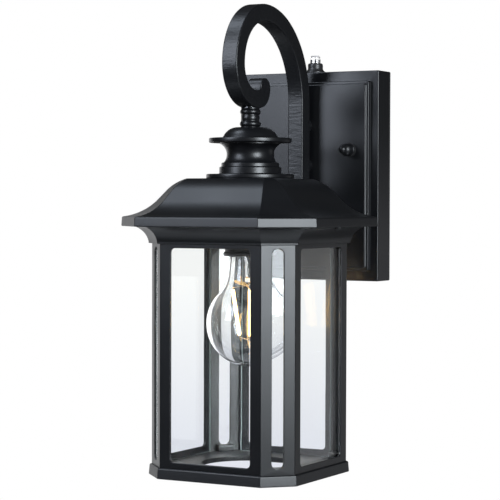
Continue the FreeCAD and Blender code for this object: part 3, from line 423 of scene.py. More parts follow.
def aimedSheet(profile, start, end, steps=16):
    # A turned surface whose axis runs from one point to another: the profile's height counts from the start.
    start, end = np.asarray(start, float), np.asarray(end, float)
    along = (end - start) / np.linalg.norm(end - start)
    side = np.cross(along, [0.3, 0.9, 0.2])
    side /= np.linalg.norm(side)
    sheet = turnedSheet(np.asarray(profile, float), (0, 0), steps)
    return start + sheet[..., :1] * side + sheet[..., 1:2] * np.cross(along, side) + sheet[..., 2:] * along


def roundedLoop(halfX, low, high, radius, steps=6):
    # Closed outline of a rectangle with rounded corners, from its lower right corner round to the left.
    corner = np.radians(np.linspace(-90, 0, steps))[None, :] + np.arange(4)[:, None] * math.pi / 2
    x, foot, head = halfX - radius, low + radius, high - radius
    centre = np.array([(x, foot), (x, head), (-x, head), (-x, foot)])
    return (centre[:, None] + radius * circle(corner)).reshape(-1, 2)


def loopSheet(rows):
    # Rows of (outline, depth): each outline's (x, z) points stand at that distance in front of the wall.
    return np.stack([np.insert(line, 1, -depth, axis=1) for line, depth in rows])


def turnAbout(sheet, degrees):
    # Turns points about the lantern's axis.
    c, s = circle(math.radians(degrees))
    plan = (sheet[..., :2] - axisPoint) @ [[c, s], [-s, c]] + axisPoint
    return np.dstack([plan, sheet[..., 2]])


def boxSheet(low, high, edge, steps=4):
    # Block with rounded edges: rounded outlines that grow and shrink along its depth.
    low, high = np.asarray(low, float), np.asarray(high, float)
    middle = (low[0] + high[0]) / 2
    inward, gone = quarter(edge, steps)
    inset = joined(inward, gone)
    depth = joined(gone, high[1] - low[1] - inward)
    rows = []
    for shrink, back in zip(inset, depth):
        loop = roundedLoop((high[0] - low[0]) / 2 - shrink, low[2] + shrink, high[2] - shrink, edge)
        rows.append((loop + [middle, 0], -(low[1] + back)))
    centre = np.array([[middle, (low[2] + high[2]) / 2]])
    first, last = rows[0], rows[-1]
    rows = [(centre + 0 * first[0], first[1]), *rows, (centre + 0 * last[0], last[1])]
    return loopSheet(rows)


roofValues = Values(
    wall=2.2,
    band=6.6,           # upright band round the eaves
    flare=36.8,         # radius of the hollow above the band
    flareReach=3.6,     # its centre outside the eaves
    shoulder=29.2,
    shoulderCut=1.3,    # what the flat top takes off the shoulder
    slope=48.3,         # degrees
    hip=0.9,            # rounding of the hips
    edge=0.7,
    bore=5.05,
    topEdge=1.1,
    draft=0.42,         # what the band leans back by over its height
    lip=0.4,            # rounding at the eaves' inner edge
    flatIn=1.4, flatRise=0.2,    # where the flat top starts, inside and above the shoulder's end
)


def ogee(inset, steps=16):
    # Half section from the eaves up: hollow flare, straight slope and rounded shoulder, set in by a wall.
    v = roofValues
    footZ, topZ = roofLow[2] + v.band, roofHigh[2]
    slope = math.radians(v.slope)
    flareX, flareZ = eavesHalf + v.flareReach, footZ + math.sqrt(v.flare ** 2 - v.flareReach ** 2)
    shoulderZ = topZ + v.shoulderCut - v.shoulder
    rise = shoulderZ + v.shoulder * math.cos(slope) - (flareZ - v.flare * math.cos(slope))
    shoulderX = flareX - (v.flare + v.shoulder) * math.sin(slope) - rise / math.tan(slope)
    flare, shoulder = v.flare + inset, v.shoulder - inset
    start = math.degrees(math.asin((v.flareReach + inset) / flare))
    crest = math.degrees(math.acos((shoulder - v.shoulderCut) / shoulder))
    hollow = arc((flareX, flareZ), flare, -90 - start, -90 - v.slope, steps)
    crown = arc((shoulderX, shoulderZ), shoulder, 90 - v.slope, 90 - crest, steps)
    flat = arc(crown[-1] - [v.flatIn, 0], v.flatRise, 90, 91, 2)
    return joined(hollow, crown, flat)


def boreRows(sheet, radius, levels):
    # Circles on the lantern's axis with as many points as a plan has, evenly spaced.
    count = sheet.shape[1]
    angle = (np.arange(count) + 0.5) * 2 * math.pi / count - math.pi / 2
    ring = axisPoint + radius * circle(angle)
    return np.stack([np.column_stack([ring, np.full(len(ring), z)]) for z in levels])


def makeRoof():
    # The section runs up the outside, down the nipple's round hole, back along the inside and round the eaves.
    v = roofValues
    outer, inner = ogee(0.0), ogee(v.wall)[::-1]
    foot, top = roofLow[2], roofHigh[2]
    outer[-2:, 1], inner[:2, 1] = top, top - v.wall
    lip = roundedLine([inner[-1], (eavesHalf - v.wall, foot, v.lip), (eavesHalf, foot, v.edge),
                       (eavesHalf - v.draft, outer[0, 1], v.topEdge), outer[1]])
    sheet = planSheet(joined(outer[1:], inner[:-1], lip), v.hip)
    crown = len(outer) - 1
    rows = joined(sheet[:crown], boreRows(sheet, v.bore, (top, top - v.wall)), sheet[crown:])
    makePiece("roofShell", [closed(rows)], "castCoat", ["roof"], sharp=50, flat=True)


ringLow, ringHigh = span("top_ring")
cageHalf = span("window_frame_right")[1][0]
coveValues = Values(
    ledge=2.3, foot=1.2, radius=13.7, drop=2.7, flange=1.8, wall=2.4,
    lip=8.0,            # cage's face in to the lip's opening
    gap=2.4,            # flange's edge to the eaves' face
    edge=0.45, corner=0.8, soft=0.3,
    innerDrop=1.2,      # how much lower the hollow starts inside
)
baseValues = Values(
    draft=0.62, topEdge=1.0, rim=3.0, floor=3.5, relamp=33.0, edge=0.7, corner=0.9,
    rimEdge=0.5, fillet=0.8, margin=6.0,
    bend=((0.5, 0), (0.15, 0.15), (0, 0.5)),    # the opening's rounded edge: out from its wall, down
)


def coveLine(inset, steps=14):
    # Hollow quarter round from the foot's top to the flange, set in by a wall.
    v = coveValues
    radius, top = v.radius + inset, ringHigh[2] - v.flange
    centre = np.array([cageHalf + v.ledge + math.sqrt(v.radius ** 2 - v.drop ** 2),
                       ringLow[2] + v.foot - v.drop])
    heights = (v.drop + (inset > 0) * v.innerDrop, top - centre[1])
    start, end = (math.degrees(math.asin(height / radius)) for height in heights)
    return arc(centre, radius, 180 - start, 180 - end, steps)


def makeCove():
    # Section: lip, foot, cove and flange outside, then back down the inside.
    v = coveValues
    foot, top, flange = ringLow[2], ringHigh[2], ringHigh[2] - v.flange
    lip, edge = cageHalf - v.lip, eavesHalf - v.gap
    outer, inner = coveLine(0.0), coveLine(v.wall)[::-1]
    under = roundedLine([(lip, foot), (cageHalf + v.ledge, foot, v.edge), (*outer[0], v.edge), outer[1]])
    over = roundedLine([outer[-2], outer[-1], (edge, flange, v.soft), (edge, top, v.soft),
                        (inner[0, 0], top, v.soft), inner[0]])
    section = joined(under, outer[2:-2], over, inner[1:], [(lip, foot + v.wall)])
    makePiece("coveRing", [closed(planSheet(section, v.corner))], "castCoat", ["top_ring"], flat=True)


def makeBase():
    # Section: round relamping opening, floor, rounded rim and the hollow underside.
    v = baseValues
    low, high, half = baseLow[2], baseHigh[2], baseHigh[0]
    under, inside = high - v.floor, half - v.rim
    rim = roundedLine([(v.relamp + v.margin, high), (half - v.draft, high, v.topEdge), (half, low, v.edge),
                       (inside, low, v.rimEdge), (inside, under, v.fillet), (v.relamp + v.margin, under)])
    sheet = planSheet(rim, v.corner)
    edge = [(out, under + up) for out, up in v.bend] + [(out, high - down) for out, down in v.bend[::-1]]
    hole = [boreRows(sheet, v.relamp + out, (z,)) for out, z in edge]
    makePiece("basePan", [closed(joined(sheet, *hole))], "castCoat", ["base_ring"], flat=True)


cageLow, cageHigh = span("window_frame_front")
cageValues = Values(
    wall=2.0, stile=8.1, sill=4.5, head=2.8, corner=3.0, slot=8.2, slotFoot=4.1, slotHead=2.4,
    bend=0.35,          # rounding of the outer edges
    lip=0.45,           # rounding round each opening
    lugWidth=12.0, lugDepth=6.0, lugFoot=4.7, lugHead=2.9, lugEdge=0.5,
    sharp=0.01,         # a corner that stays all but square
    sunk=0.05,          # how far a lug is let into its post
)
sides = ("front", "right", "back", "left")
corners = {"front_right": "FrontRight", "back_right": "BackRight", "back_left": "BackLeft",
           "front_left": "FrontLeft"}


def platedSheet(face, halfOut, halfIn, opening, radius):
    # Upright plate round an opening: from the outer rectangle over the face, through the opening and back.
    v = cageValues
    low, high = cageLow[2], cageHigh[2]
    wide, foot, head = opening
    rows = []
    for i, d in zip(*(part[::-1] for part in quarter(v.bend, 4))):
        half = halfOut - (halfOut - halfIn) / v.wall * d - i
        rows.append((roundedLoop(half, low + i * 0.3, high - i * 0.3, v.sharp), d))
    inward, back = quarter(v.lip, 4)
    swell, depth = joined(inward, inward[::-1]), joined(back, v.wall - back[::-1])
    rows += [(roundedLoop(wide + i, foot - i, head + i, radius + i), d) for i, d in zip(swell, depth)]
    rows.append((roundedLoop(halfIn, low, high, v.sharp), v.wall))
    return loopSheet([(line, face - depth) for line, depth in rows])


def makeCage():
    # A side of the cage is sqrt(2) * (h + gain) - h wide from its middle, and a cut corner closes the rest.
    v = cageValues
    low, high = cageLow[2], cageHigh[2]
    depths = (cageHalf, cageHalf - v.wall)
    flat = [math.sqrt(2) * (h + cornerGain) - h for h in depths]
    cut = [(h - f) / math.sqrt(2) for h, f in zip(depths, flat)]
    face = cageHalf - axisPoint[1]
    sheet = platedSheet(face, *flat, (flat[0] - v.stile, low + v.sill, high - v.head), v.corner)
    for k, side in enumerate(sides):
        frameSheet = closed(turnAbout(sheet, 90 * k))
        makePiece(side + "Frame", [frameSheet], "coat", ["window_frame_" + side], flat=True)
    face += cornerGain
    sheet = platedSheet(face, *cut, (v.slot / 2, low + v.slotFoot, high - v.slotHead), v.slot / 2 - v.sharp)
    x, back = v.lugWidth / 2, v.wall - v.sunk - face
    lugs = [boxSheet((-x, back, a), (x, back + v.lugDepth, b), v.lugEdge)
            for a, b in ((low, low + v.lugFoot), (high - v.lugHead, high))]
    for k, (corner, title) in enumerate(corners.items()):
        parts = [turnAbout(part, 45 + 90 * k) for part in (closed(sheet), *lugs)]
        makePiece("post" + title, parts, "coat", ["corner_post_" + corner], flat=True)


capLow, capHigh = span("roof_cap")
spoolLow, spoolHigh = span("neck_spool")
capValues = Values(
    bore=5.05, foot=30.65, footHeight=3.2, ring=21.6, ringHeight=4.6, tier=20.1, neck=18.6,
    waist=16.4, waistHeight=17.4, flare=20.9, flareHeight=7.6, rim=28.8, rimHeight=3.2,
    dome=18.7, edge=0.7, soft=0.3, fillet=0.5, tierEdge=0.9, tierHeight=2.9,
    step=0.5,           # between the foot's top and the ring
    apron=1.2, brim=1.0,    # how far the foot reaches past the ring and the rim's top past the dome
    apronEdge=0.4, flareDrop=0.8, domeFoot=1.6, domeMiddle=4.9,
    domeShares=(1.0, 0.86, 0.58),    # radius at the dome's foot, middle and crest
)
spoolValues = Values(
    # heights and radii of the foot, the three beads with their grooves, and the collar
    bore=5.05, groove=6.05, foot=6.9, footHeight=0.5, gap=0.5, collar=6.5,
    beads=((7.4, 3.9), (6.4, 3.4), (7.2, 3.9)), edge=0.2, topEdge=0.3, overlap=0.05,
)


def makeCap():
    # Profile: foot, ring and tier, a hollow waist through neck, waist and flare, the rim and a dome over it.
    v, z = capValues, capLow[2]
    footTop = z + v.footHeight
    ringTop = footTop + v.step + v.ringHeight
    rimZ = z + v.waistHeight + v.flareHeight
    rimTop, neckZ = rimZ + v.rimHeight, ringTop + v.tierHeight
    waist = throughThree((v.neck, neckZ), (v.waist, z + v.waistHeight), (v.flare, rimZ - v.flareDrop))
    dome = [(v.dome * share, height) for share, height in zip(
        v.domeShares, (rimTop + v.domeFoot, rimTop + v.domeMiddle, capHigh[2]))]
    dome = throughThree(*dome, 14)
    lower = roundedLine([
        (v.bore, z), (v.foot, z, v.edge), (v.foot, footTop, v.edge), (v.ring + v.apron, footTop, v.apronEdge),
        (v.ring, footTop + v.step, v.soft), (v.ring, ringTop, v.tierEdge), (v.tier, ringTop, v.soft),
        (v.tier, neckZ, v.tierEdge), waist[0]])
    upper = roundedLine([
        waist[-1], (v.flare, rimZ, v.soft), (v.rim, rimZ, v.edge), (v.rim, rimTop, v.edge),
        (v.dome + v.brim, rimTop, v.fillet), dome[0]])
    profile = joined(lower, waist[1:-1], upper, dome[1:], [(v.bore, capHigh[2]), (v.bore, z)])
    makePiece("turnedCap", [closed(turnedSheet(profile, steps=96))], "coat", ["roof_cap"], sharp=35)


def makeSpool():
    # Profile: foot, beads that are arcs between two grooves, collar.
    v = spoolValues
    z, top = spoolLow[2], spoolHigh[2]
    level = z + v.footHeight
    line = [roundedLine([(v.bore, z), (v.foot, z, v.edge), (v.foot, level, v.edge), (v.groove, level)])]
    for radius, height in v.beads:
        over = level + height
        line.append(throughThree((v.groove, level), (radius, level + height / 2), (v.groove, over), 14))
        level = over + v.gap
    level += v.overlap - v.gap
    line.append(roundedLine([
        (v.groove, level), (v.collar, level, v.edge), (v.collar, top, v.topEdge), (v.bore, top)]))
    makePiece("neckSpool", [closed(turnedSheet(joined(*line)))], "coat", ["neck_spool"], sharp=35)


armLow, armHigh = span("scroll_arm")
armValues = Values(
    width=12.0, thick=12.0, loop=43.4, scroll=29.4,
    offset=0.8,         # the scroll's centre in front of the lantern's axis
    lobe=14.0, lobeShift=4.7, tip=7.0, blend=3.0,
    edge=1.0, tail=2.0, boss=3.7, bossRadius=5.9, bossLevels=(7.9, 36.9),
    bossSunk=3.0, bossEdge=0.3,
)


def armRails():
    # Outer and inner edge of the bar in its own plane (towards the wall, up), from the tail to the tip: three
    # quarter arcs that get smaller, then a round lobe outside against a small hollow inside.
    v = armValues
    t, under = v.thick, spoolHigh[2]
    back = armHigh[1] - v.boss
    scroll = np.array([axisPoint[1] - v.offset, under + v.scroll])
    loop = scroll + [v.loop - v.scroll, 0]
    sweepRadius = back - loop[0]
    sweep = np.array([loop[0], scroll[1] + v.loop - sweepRadius])
    foot = armLow[2]
    tail = throughThree((back - t, foot + v.tail), (back - t / 2, foot), (back, foot + v.tail), 11)
    lobe = np.array([axisPoint[1] + v.lobeShift, under + v.lobe])
    tip = lobe + [v.lobe - v.tip, 0]
    reach = v.tip + v.blend
    blendZ = under + t + v.blend
    blend = np.array([tip[0] - math.sqrt(reach ** 2 - (blendZ - tip[1]) ** 2), blendZ])
    touch = math.degrees(math.atan2(*(blend - tip)[::-1])) % 360
    top = touch / 2
    outer = joined(
        tail[5:], arc(sweep, sweepRadius, 0, 90, 30), arc(loop, v.loop, 90, 180, 24)[1:],
        arc(scroll, v.scroll, 180, 270, 18)[1:], arc(lobe, v.lobe, -90, 0, 12), arc(tip, v.tip, 0, top, 10)[1:],
    )
    inner = joined(
        tail[5::-1], arc(sweep, sweepRadius - t, 0, 90, 30), arc(loop, v.loop - t, 90, 180, 24)[1:],
        arc(scroll, v.scroll - t, 180, 270, 18)[1:], arc(blend, v.blend, -90, touch - 180, 12),
        arc(tip, v.tip, touch, top, 10)[1:],
    )
    return outer, inner


def makeArm():
    # Each edge of the bar is a quarter round. A rail's normal is the mean of its two runs' normals.
    v = armValues
    outer, inner = armRails()
    loop = joined(outer, inner[-2:0:-1])
    run = np.roll(loop, -1, axis=0) - loop
    run /= np.maximum(np.linalg.norm(run, axis=1, keepdims=True), 1e-9)
    mean = run + np.roll(run, 1, axis=0)
    mean /= np.linalg.norm(mean, axis=1, keepdims=True)
    normal = np.stack([-mean[:, 1], mean[:, 0]], axis=1)
    count = len(outer)
    innerNormal = joined(normal[:1], normal[count:][::-1], normal[count - 1:count])
    inward, into = quarter(v.edge, 5)
    side = v.width / 2 - inward
    outerBend = outer[:, None, :] + normal[:count, None, :] * into[None, :, None]
    innerBend = inner[:, None, :] + innerNormal[:, None, :] * into[None, :, None]
    plane = np.concatenate([outerBend, innerBend[:, ::-1], innerBend, outerBend[:, ::-1]], axis=1)
    x = np.broadcast_to(joined(side, side[::-1], -side, -side[::-1]), plane.shape[:2])
    sheet = np.stack([x, plane[..., 0], plane[..., 1]], axis=2)
    far = v.boss + v.bossSunk
    line = roundedLine([(0, 0), (v.bossRadius, 0, v.bossEdge), (v.bossRadius, far, v.bossEdge), (0, far)])
    bosses = [laidSheet(line, (0, armHigh[1], z)) for z in v.bossLevels]
    makePiece("scrollArm", [sheet, *bosses], "rippledCoat", ["scroll_arm"], flat=True)


plateLow, plateHigh = span("back_plate")
plateValues = Values(
    depth=20.4, corner=1.0, edge=0.9, panelX=50.8, panelZ=68.8, rise=3.6, ledge=2.1, step=1.5,
    panelCorner=1.6, wall=2.2, innerCorner=0.5, sharp=0.01, backEdge=0.3,
    # rounded edges and hollow fillets as steps (in or out, back)
    stepEdge=((0.6, 0), (0.3, 0.08), (0.08, 0.3), (0, 0.6)),
    ledgeEdge=((0.7, 0), (0.35, 0.1), (0.1, 0.35), (0, 0.7)),
    stepFillet=((0, 0.25), (0.25, 0)),
    faceFillet=((0, 0.5), (0.15, 0.15), (0.5, 0)),
)


def makePlate():
    # Rounded outlines from the middle of the panel out over its steps and the rim, then back inside the pan.
    v = plateValues
    x, z, back = plateHigh[0], plateHigh[2], -plateHigh[1]
    face, low, top = v.depth, v.depth + v.rise, v.depth + v.rise + v.step
    topX, topZ = v.panelX - v.ledge, v.panelZ - v.ledge

    def at(halfX, halfZ, radius, depth):
        return roundedLoop(halfX, -halfZ, halfZ, max(radius, v.sharp)), depth

    centre = np.zeros((24, 2))     # as many points as an outline has
    rows = [(centre, top)]
    rows += [at(topX - i, topZ - i, v.panelCorner - i, top - d) for i, d in v.stepEdge]
    rows += [at(topX + o, topZ + o, v.panelCorner, low + d) for o, d in v.stepFillet]
    rows += [at(v.panelX - i, v.panelZ - i, v.panelCorner - i, low - d) for i, d in v.ledgeEdge]
    rows += [at(v.panelX + o, v.panelZ + o, v.panelCorner, face + d) for o, d in v.faceFillet]
    for i, d in zip(*quarter(v.edge, 5)):
        rows.append(at(x - i, z - i, v.corner - i / 2, face - d))
    rows += [at(x, z, v.corner, back + v.backEdge), at(x - v.backEdge, z - v.backEdge, v.corner, back)]
    rows += [at(halfX - v.wall, halfZ - v.wall, v.innerCorner, depth) for halfX, halfZ, depth in (
        (x, z, back), (x, z, face - v.wall), (topX, topZ, face - v.wall), (topX, topZ, top - v.wall))]
    rows.append((centre, top - v.wall))
    makePiece("wallPan", [loopSheet(rows)], "coat", ["back_plate"], flat=True)


nutValues = Values(
    flange=4.7, flangeHeight=1.8, waist=4.4, bore=2.08, depth=5.0, tip=2.9,
    shoulder=((4.4, 5.3), (3.9, 7.1)),    # two points of the tapered shoulder (radius, height)
    ballStart=-40,                        # degrees on the ball where the shoulder ends
    edge=0.3, boreEdge=0.2, bevel=0.3,
)


def makeNuts():
    # Closed nut: flange, waist, tapered shoulder and ball end, turned on a lying axis.
    v = nutValues
    for side in ("left", "right"):
        low, high = span("cap_nut_" + side)
        ball = arc((0, high[1] - low[1] - v.tip), v.tip, v.ballStart, 90, 12)
        ball[-1, 0] = 0
        shoulder = throughThree(*v.shoulder, ball[0], 8)
        body = roundedLine([
            (0, v.depth), (v.bore, v.depth), (v.bore, 0, v.boreEdge), (v.flange, 0, v.edge),
            (v.flange, v.flangeHeight - v.bevel, v.edge), (v.waist, v.flangeHeight, v.edge), shoulder[0]])
        profile = joined(body, shoulder[1:], ball[1:])
        place = ((low[0] + high[0]) / 2, high[1], (low[2] + high[2]) / 2)
        makePiece(side + "CapNut", [laidSheet(profile, place, 64)], "castCoat", ["cap_nut_" + side],
                  body="nut_" + side)


bulbLow, bulbHigh = span("bulb_glass")
bulbAxis = (bulbLow[:2] + bulbHigh[:2]) / 2
screwLow, screwHigh = span("bulb_cap")
bulbValues = Values(
    globe=30.0, wall=0.9, spigot=4.0, spigotRadius=12.3, neck=13.7, taper=6.5, blend=25.0,
    rimEdge=0.3,
)
screwValues = Values(
    radius=13.1, cone=2.4, end=9.0, pitch=3.63, threadFoot=3.0, threadDepth=0.75,
    play=(0.05, 0.2),      # what the seat has round and over the glass
    footEdge=0.2, coneEdge=0.3, endEdge=0.4, seatEdge=0.2, mouthEdge=0.1,
    wallStart=0.4, wallEnd=0.2, rows=90,    # the threaded wall's ends and its number of rings
)
rodValues = Values(
    stem=23.4, topSpread=11.7, footSpread=7.0, rods=4, firstRod=28.8, rodLength=32.0, drop=4.0,
    rod=1.1, wire=0.32, mast=0.5, bead=1.0, beadDrop=1.4,
    # how far under the mast's top and over its foot the wires leave it, and how far past a rod they bend
    topWire=(0.6, 1.4), footWire=(0.4, 1.0),
)


def glassLine(inset):
    # From the pole up: globe, hollow blend that touches both the globe and the neck's slanted line, neck.
    v = bulbValues
    foot, globeZ = screwLow[2], bulbLow[2] + v.globe
    taper = math.radians(v.taper)
    start = np.array([v.neck + v.blend * math.cos(taper), foot + v.blend * math.sin(taper) - globeZ])
    line = np.array([math.sin(taper), -math.cos(taper)])
    half = start @ line
    run = -half - math.sqrt(half ** 2 - (start @ start - (v.globe + v.blend) ** 2))
    blend = start + run * line
    meet = math.degrees(math.atan2(blend[1], blend[0]))
    globe = arc((0, globeZ), v.globe - inset, -90, meet, 40)
    hollow = arc(blend + [0, globeZ], v.blend + inset, meet + 180, 180 + v.taper, 20)
    neck = np.array([[v.neck - inset * (1 / math.cos(taper) - math.tan(taper)), foot - inset]])
    return joined(globe, hollow[1:], neck)


def thread(depth, low, high, fadeLength):
    # Rolled round thread: the radius changes by depth / 2 * (1 - cos(2 pi (z - low) / pitch - angle)), and the
    # depth fades out at both ends.
    pitch = screwValues.pitch

    def wave(angle, z):
        fade = np.clip((z - low) / fadeLength, 0, 1) * np.clip((high - z) / fadeLength, 0, 1)
        return depth / 2 * fade * (1 - np.cos(2 * math.pi * (z - low) / pitch - angle))
    return wave


def makeBulb():
    # Profile: the glass outside, the spigot's rim and the glass inside.
    v = bulbValues
    foot = screwLow[2]
    outer, inner = glassLine(0.0), glassLine(v.wall)[::-1]
    outer[0, 0] = inner[-1, 0] = 0
    r, top = v.spigotRadius, foot + v.spigot
    rim = roundedLine([(r, foot), (r, top, v.rimEdge), (r - v.wall, top, v.rimEdge), inner[0]])
    sheet = turnedSheet(joined(outer, rim, inner[1:]), bulbAxis, 96)
    makePiece("blownGlobe", [sheet], "bulbGlass", ["bulb_glass"], 60, body="bulb")


def makeScrew():
    # Profile: the seat for the glass, the wall that takes the thread, the cone and the end.
    v, b = screwValues, bulbValues
    foot, high = screwLow[2], screwHigh[2]
    seat, ceiling = b.spigotRadius + v.play[0], foot + b.spigot + v.play[1]
    z = np.linspace(foot + v.wallStart, high - v.cone - v.wallEnd, v.rows)
    wall = np.stack([v.radius + 0 * z, z], axis=1)
    lower = roundedLine([(0, ceiling), (seat, ceiling, v.seatEdge), (seat, foot, v.mouthEdge),
                         (v.radius, foot, v.footEdge), wall[0]])
    upper = roundedLine([wall[-1], (v.radius, high - v.cone, v.coneEdge), (v.end, high, v.endEdge), (0, high)])
    profile = joined(lower, wall[1:], upper[1:])
    wave = thread(-v.threadDepth, foot + v.threadFoot, high - v.cone, v.pitch / 2)

    def rolled(angle, z):
        return np.where(profile[:, :1] >= v.radius - 0.01, wave(angle, z), 0)
    makePiece("rolledCap", [turnedSheet(profile, bulbAxis, 96, rolled)], "nickel", ["bulb_cap"], 50,
              body="bulb")


def makeFilaments():
    # Rods with ball ends that lean in towards the foot; a mast carries a bent wire to each of their ends.
    v = rodValues
    top = screwLow[2] - v.stem - v.drop
    mastTop, mastFoot = top + v.drop, top - v.rodLength - v.drop

    def bar(start, end, radius, far, bend, steps):
        # straight, with round ends: one centre a radius after the start, the other this far before the end
        length = np.linalg.norm(np.subtract(end, start))
        ends = arc((0, radius), radius, -90, 0, bend), arc((0, length - far), radius, 0, 90, bend)
        return aimedSheet(joined(*ends), start, end, steps)

    angle = np.radians(v.firstRod + 360 / v.rods * np.arange(v.rods))
    ring = circle(angle)
    tops, feet = (np.column_stack([bulbAxis + spread * ring, np.full(v.rods, z)])
                  for spread, z in ((v.topSpread, top), (v.footSpread, top - v.rodLength)))
    tall = mastTop - mastFoot
    mast = roundedLine([(0, 0), (v.mast, 0, 0.3), (v.mast, tall, 0.1), (0, tall)])
    bead = arc((0, 0), v.bead, -90, 90, 10)
    rods, wires = [], [aimedSheet(line, (*bulbAxis, z), (*bulbAxis, mastTop))
                       for line, z in ((mast, mastFoot), (bead, mastTop - v.beadDrop))]
    for a, b in zip(tops, feet):
        rods.append(bar(a, b, v.rod, v.rod, 8, 24))
        for end, level, past in ((a, mastTop - v.topWire[0], v.topWire[1]),
                                 (b, mastFoot + v.footWire[0], -v.footWire[1])):
            knee = end + (0, 0, past)
            wires += [bar((*bulbAxis, level), knee, v.wire, 0, 4, 10), bar(knee, end, v.wire, 0, 4, 10)]
    makePiece("glowRods", rods, "phosphor", ["bulb_filaments"], 60, body="bulb")
    makePiece("rodWires", wires, "nickel", ["filament_wires"], 60, body="bulb")


holderLow, holderHigh = span("lamp_holder")
shellLow, shellHigh = span("screw_shell")
holderValues = Values(
    rim=18.5, rimHeight=3.0, body=17.25, bore=15.1, crown=3.0, hub=8.5, hubHeight=4.0, roof=2.0,
    hubBore=5.05, grooves=(6.2, 9.0), bend=0.4, rimEdge=0.8, hubEdge=0.5, boreEdge=0.2, grooveEdge=0.1,
    groove=((0, -0.4), (0.5, -0.1), (0.5, 0.1), (0, 0.4)),    # a groove's section (in, up) about its level
)
shellValues = Values(inner=13.18, wall=0.23, depth=0.22, end=9.5, lip=0.45, turn=0.2, stop=0.3, rows=100)


def makeHolder():
    # Profile: ceiling, rolled rim, two grooves round the body, rounded crown and the hub.
    v, z, top = holderValues, holderLow[2], holderHigh[2]
    crown, brim = top - v.hubHeight, z + v.rimHeight
    ceiling = crown - v.roof
    line = [(v.bore, ceiling), (v.bore, z, v.bend), (v.rim, z, v.rimEdge), (v.rim, brim - v.rimEdge, v.hubEdge),
            (v.body, brim, v.bend)]
    line += [(v.body - depth, z + level + up, v.grooveEdge) for level in v.grooves for depth, up in v.groove]
    line += [(v.body, crown, v.crown), (v.hub, crown, v.hubEdge), (v.hub, top, v.hubEdge),
             (v.hubBore, top, v.boreEdge), (v.hubBore, ceiling)]
    makePiece("holderCup", [closed(turnedSheet(roundedLine(line), bulbAxis, 96))], "phenolic", ["lamp_holder"])


def makeShell():
    # Thin shell pressed out to the thread's shape, its end turned in.
    v, low, high = shellValues, shellLow[2], shellHigh[2]
    under = high - v.lip
    z = np.linspace(low, under - v.stop, v.rows)
    outer, inner = (np.stack([r + 0 * z, z], axis=1) for r in (v.inner + v.wall, v.inner))
    end = [(v.inner + v.wall - v.turn, high), (v.end, high), (v.end, under), (v.inner - v.turn, under)]
    profile = joined(outer, end, inner[::-1])
    pressed = thread(v.depth, low, high, screwValues.pitch)
    makePiece("threadedShell", [closed(turnedSheet(profile, bulbAxis, 96, pressed))], "brass", ["screw_shell"],
              50)


sensorLow, sensorHigh = span("sensor_collar")
lensLow, lensHigh = span("sensor_lens")
sensorAxis = (0.0, (sensorLow[1] + sensorHigh[1]) / 2)
sensorValues = Values(
    bore=1.6, barrel=4.6, barrelLength=6.0, flange=7.6, flangeHeight=1.3, foot=7.1, body=5.6,
    flareHeight=3.0, flareMiddle=(0.42, 0.32),    # radius over the body's, share of the flare's height
    top=5.4, browDrop=1.6, browEdge=0.5, browTop=0.6, seat=3.55, seatDepth=4.0,
    posts=6, post=0.55, postHeight=2.9, postFoot=0.4, postTurn=2.0, postOut=0.05,
    lens=3.5, lensWall=0.8, bevel=0.6, crownIn=1.4, crownEdge=0.5,
    edge=0.2, soft=0.3, bend=0.4, postEdge=0.35,
)


def makeSensor():
    # Housing: barrel, flange, hollow flare, body with a chamfered brow; posts stand round the lens.
    v = sensorValues
    low, top = sensorLow[2], sensorHigh[2]
    z, bed = low + v.barrelLength, top - v.seatDepth
    foot = z + v.flangeHeight
    out, up = v.flareMiddle
    flare = throughThree((v.foot, foot), (v.body + out, foot + v.flareHeight * up),
                         (v.body, foot + v.flareHeight), 12)
    lower = roundedLine([(v.bore, low), (v.barrel, low, v.edge), (v.barrel, z), (v.flange, z, v.edge),
                         (v.flange, foot, v.bend), flare[0]])
    brow = roundedLine([flare[-1], (v.body, top - v.browDrop, v.soft), (v.top, top - v.browEdge, v.edge),
                        (v.top - v.browTop, top, v.soft), (v.seat, top, v.edge), (v.seat, bed), (v.bore, bed)])
    sheets = [closed(turnedSheet(joined(lower, flare[1:-1], brow), sensorAxis, 72))]
    post = roundedLine([(0, -v.postFoot), (v.post, -v.postFoot), (v.post, v.postHeight, v.postEdge),
                        (0, v.postHeight)])
    for a in np.radians(v.postTurn + 360 / v.posts * np.arange(v.posts)):
        place = np.array(sensorAxis) + (v.lens + v.postOut) * circle(a)
        sheets.append(turnedSheet(post + [0, top], place, 16))
    makePiece("sensorHousing", sheets, "phenolic", ["sensor_collar"])
    # the lens: a cup turned over, its bevelled crown one wall thick
    floor, crest, r, w = lensLow[2], lensHigh[2], v.lens, v.lensWall
    line = [(r, floor), (r, crest - v.bevel, v.bend), (r - v.bevel, crest, v.bend), (0, crest)]
    under = crest - w
    inside = [(0, under), (r - v.crownIn, under, v.crownEdge), (r - w, under - v.bevel, v.crownEdge),
              (r - w, floor)]
    sheet = turnedSheet(joined(roundedLine(line), roundedLine(inside)), sensorAxis, 48)
    makePiece("sensorCap", [closed(sheet)], "lens", ["sensor_lens"], 50)


paneEdge = 0.35     # ground edge, millimetres
stripValues = Values(inset=0.8, thick=0.9, rim=0.4, edge=0.2)    # glass let into the posts' slots


def makePanes():
    # One block, turned about the axis for each side.
    sheet = boxSheet(*span("glass_pane_front"), paneEdge, 3)
    for k, side in enumerate(sides):
        makePiece(side + "Pane", [turnAbout(sheet, 90 * k)], "paneGlass", ["glass_pane_" + side],
                  30, True)


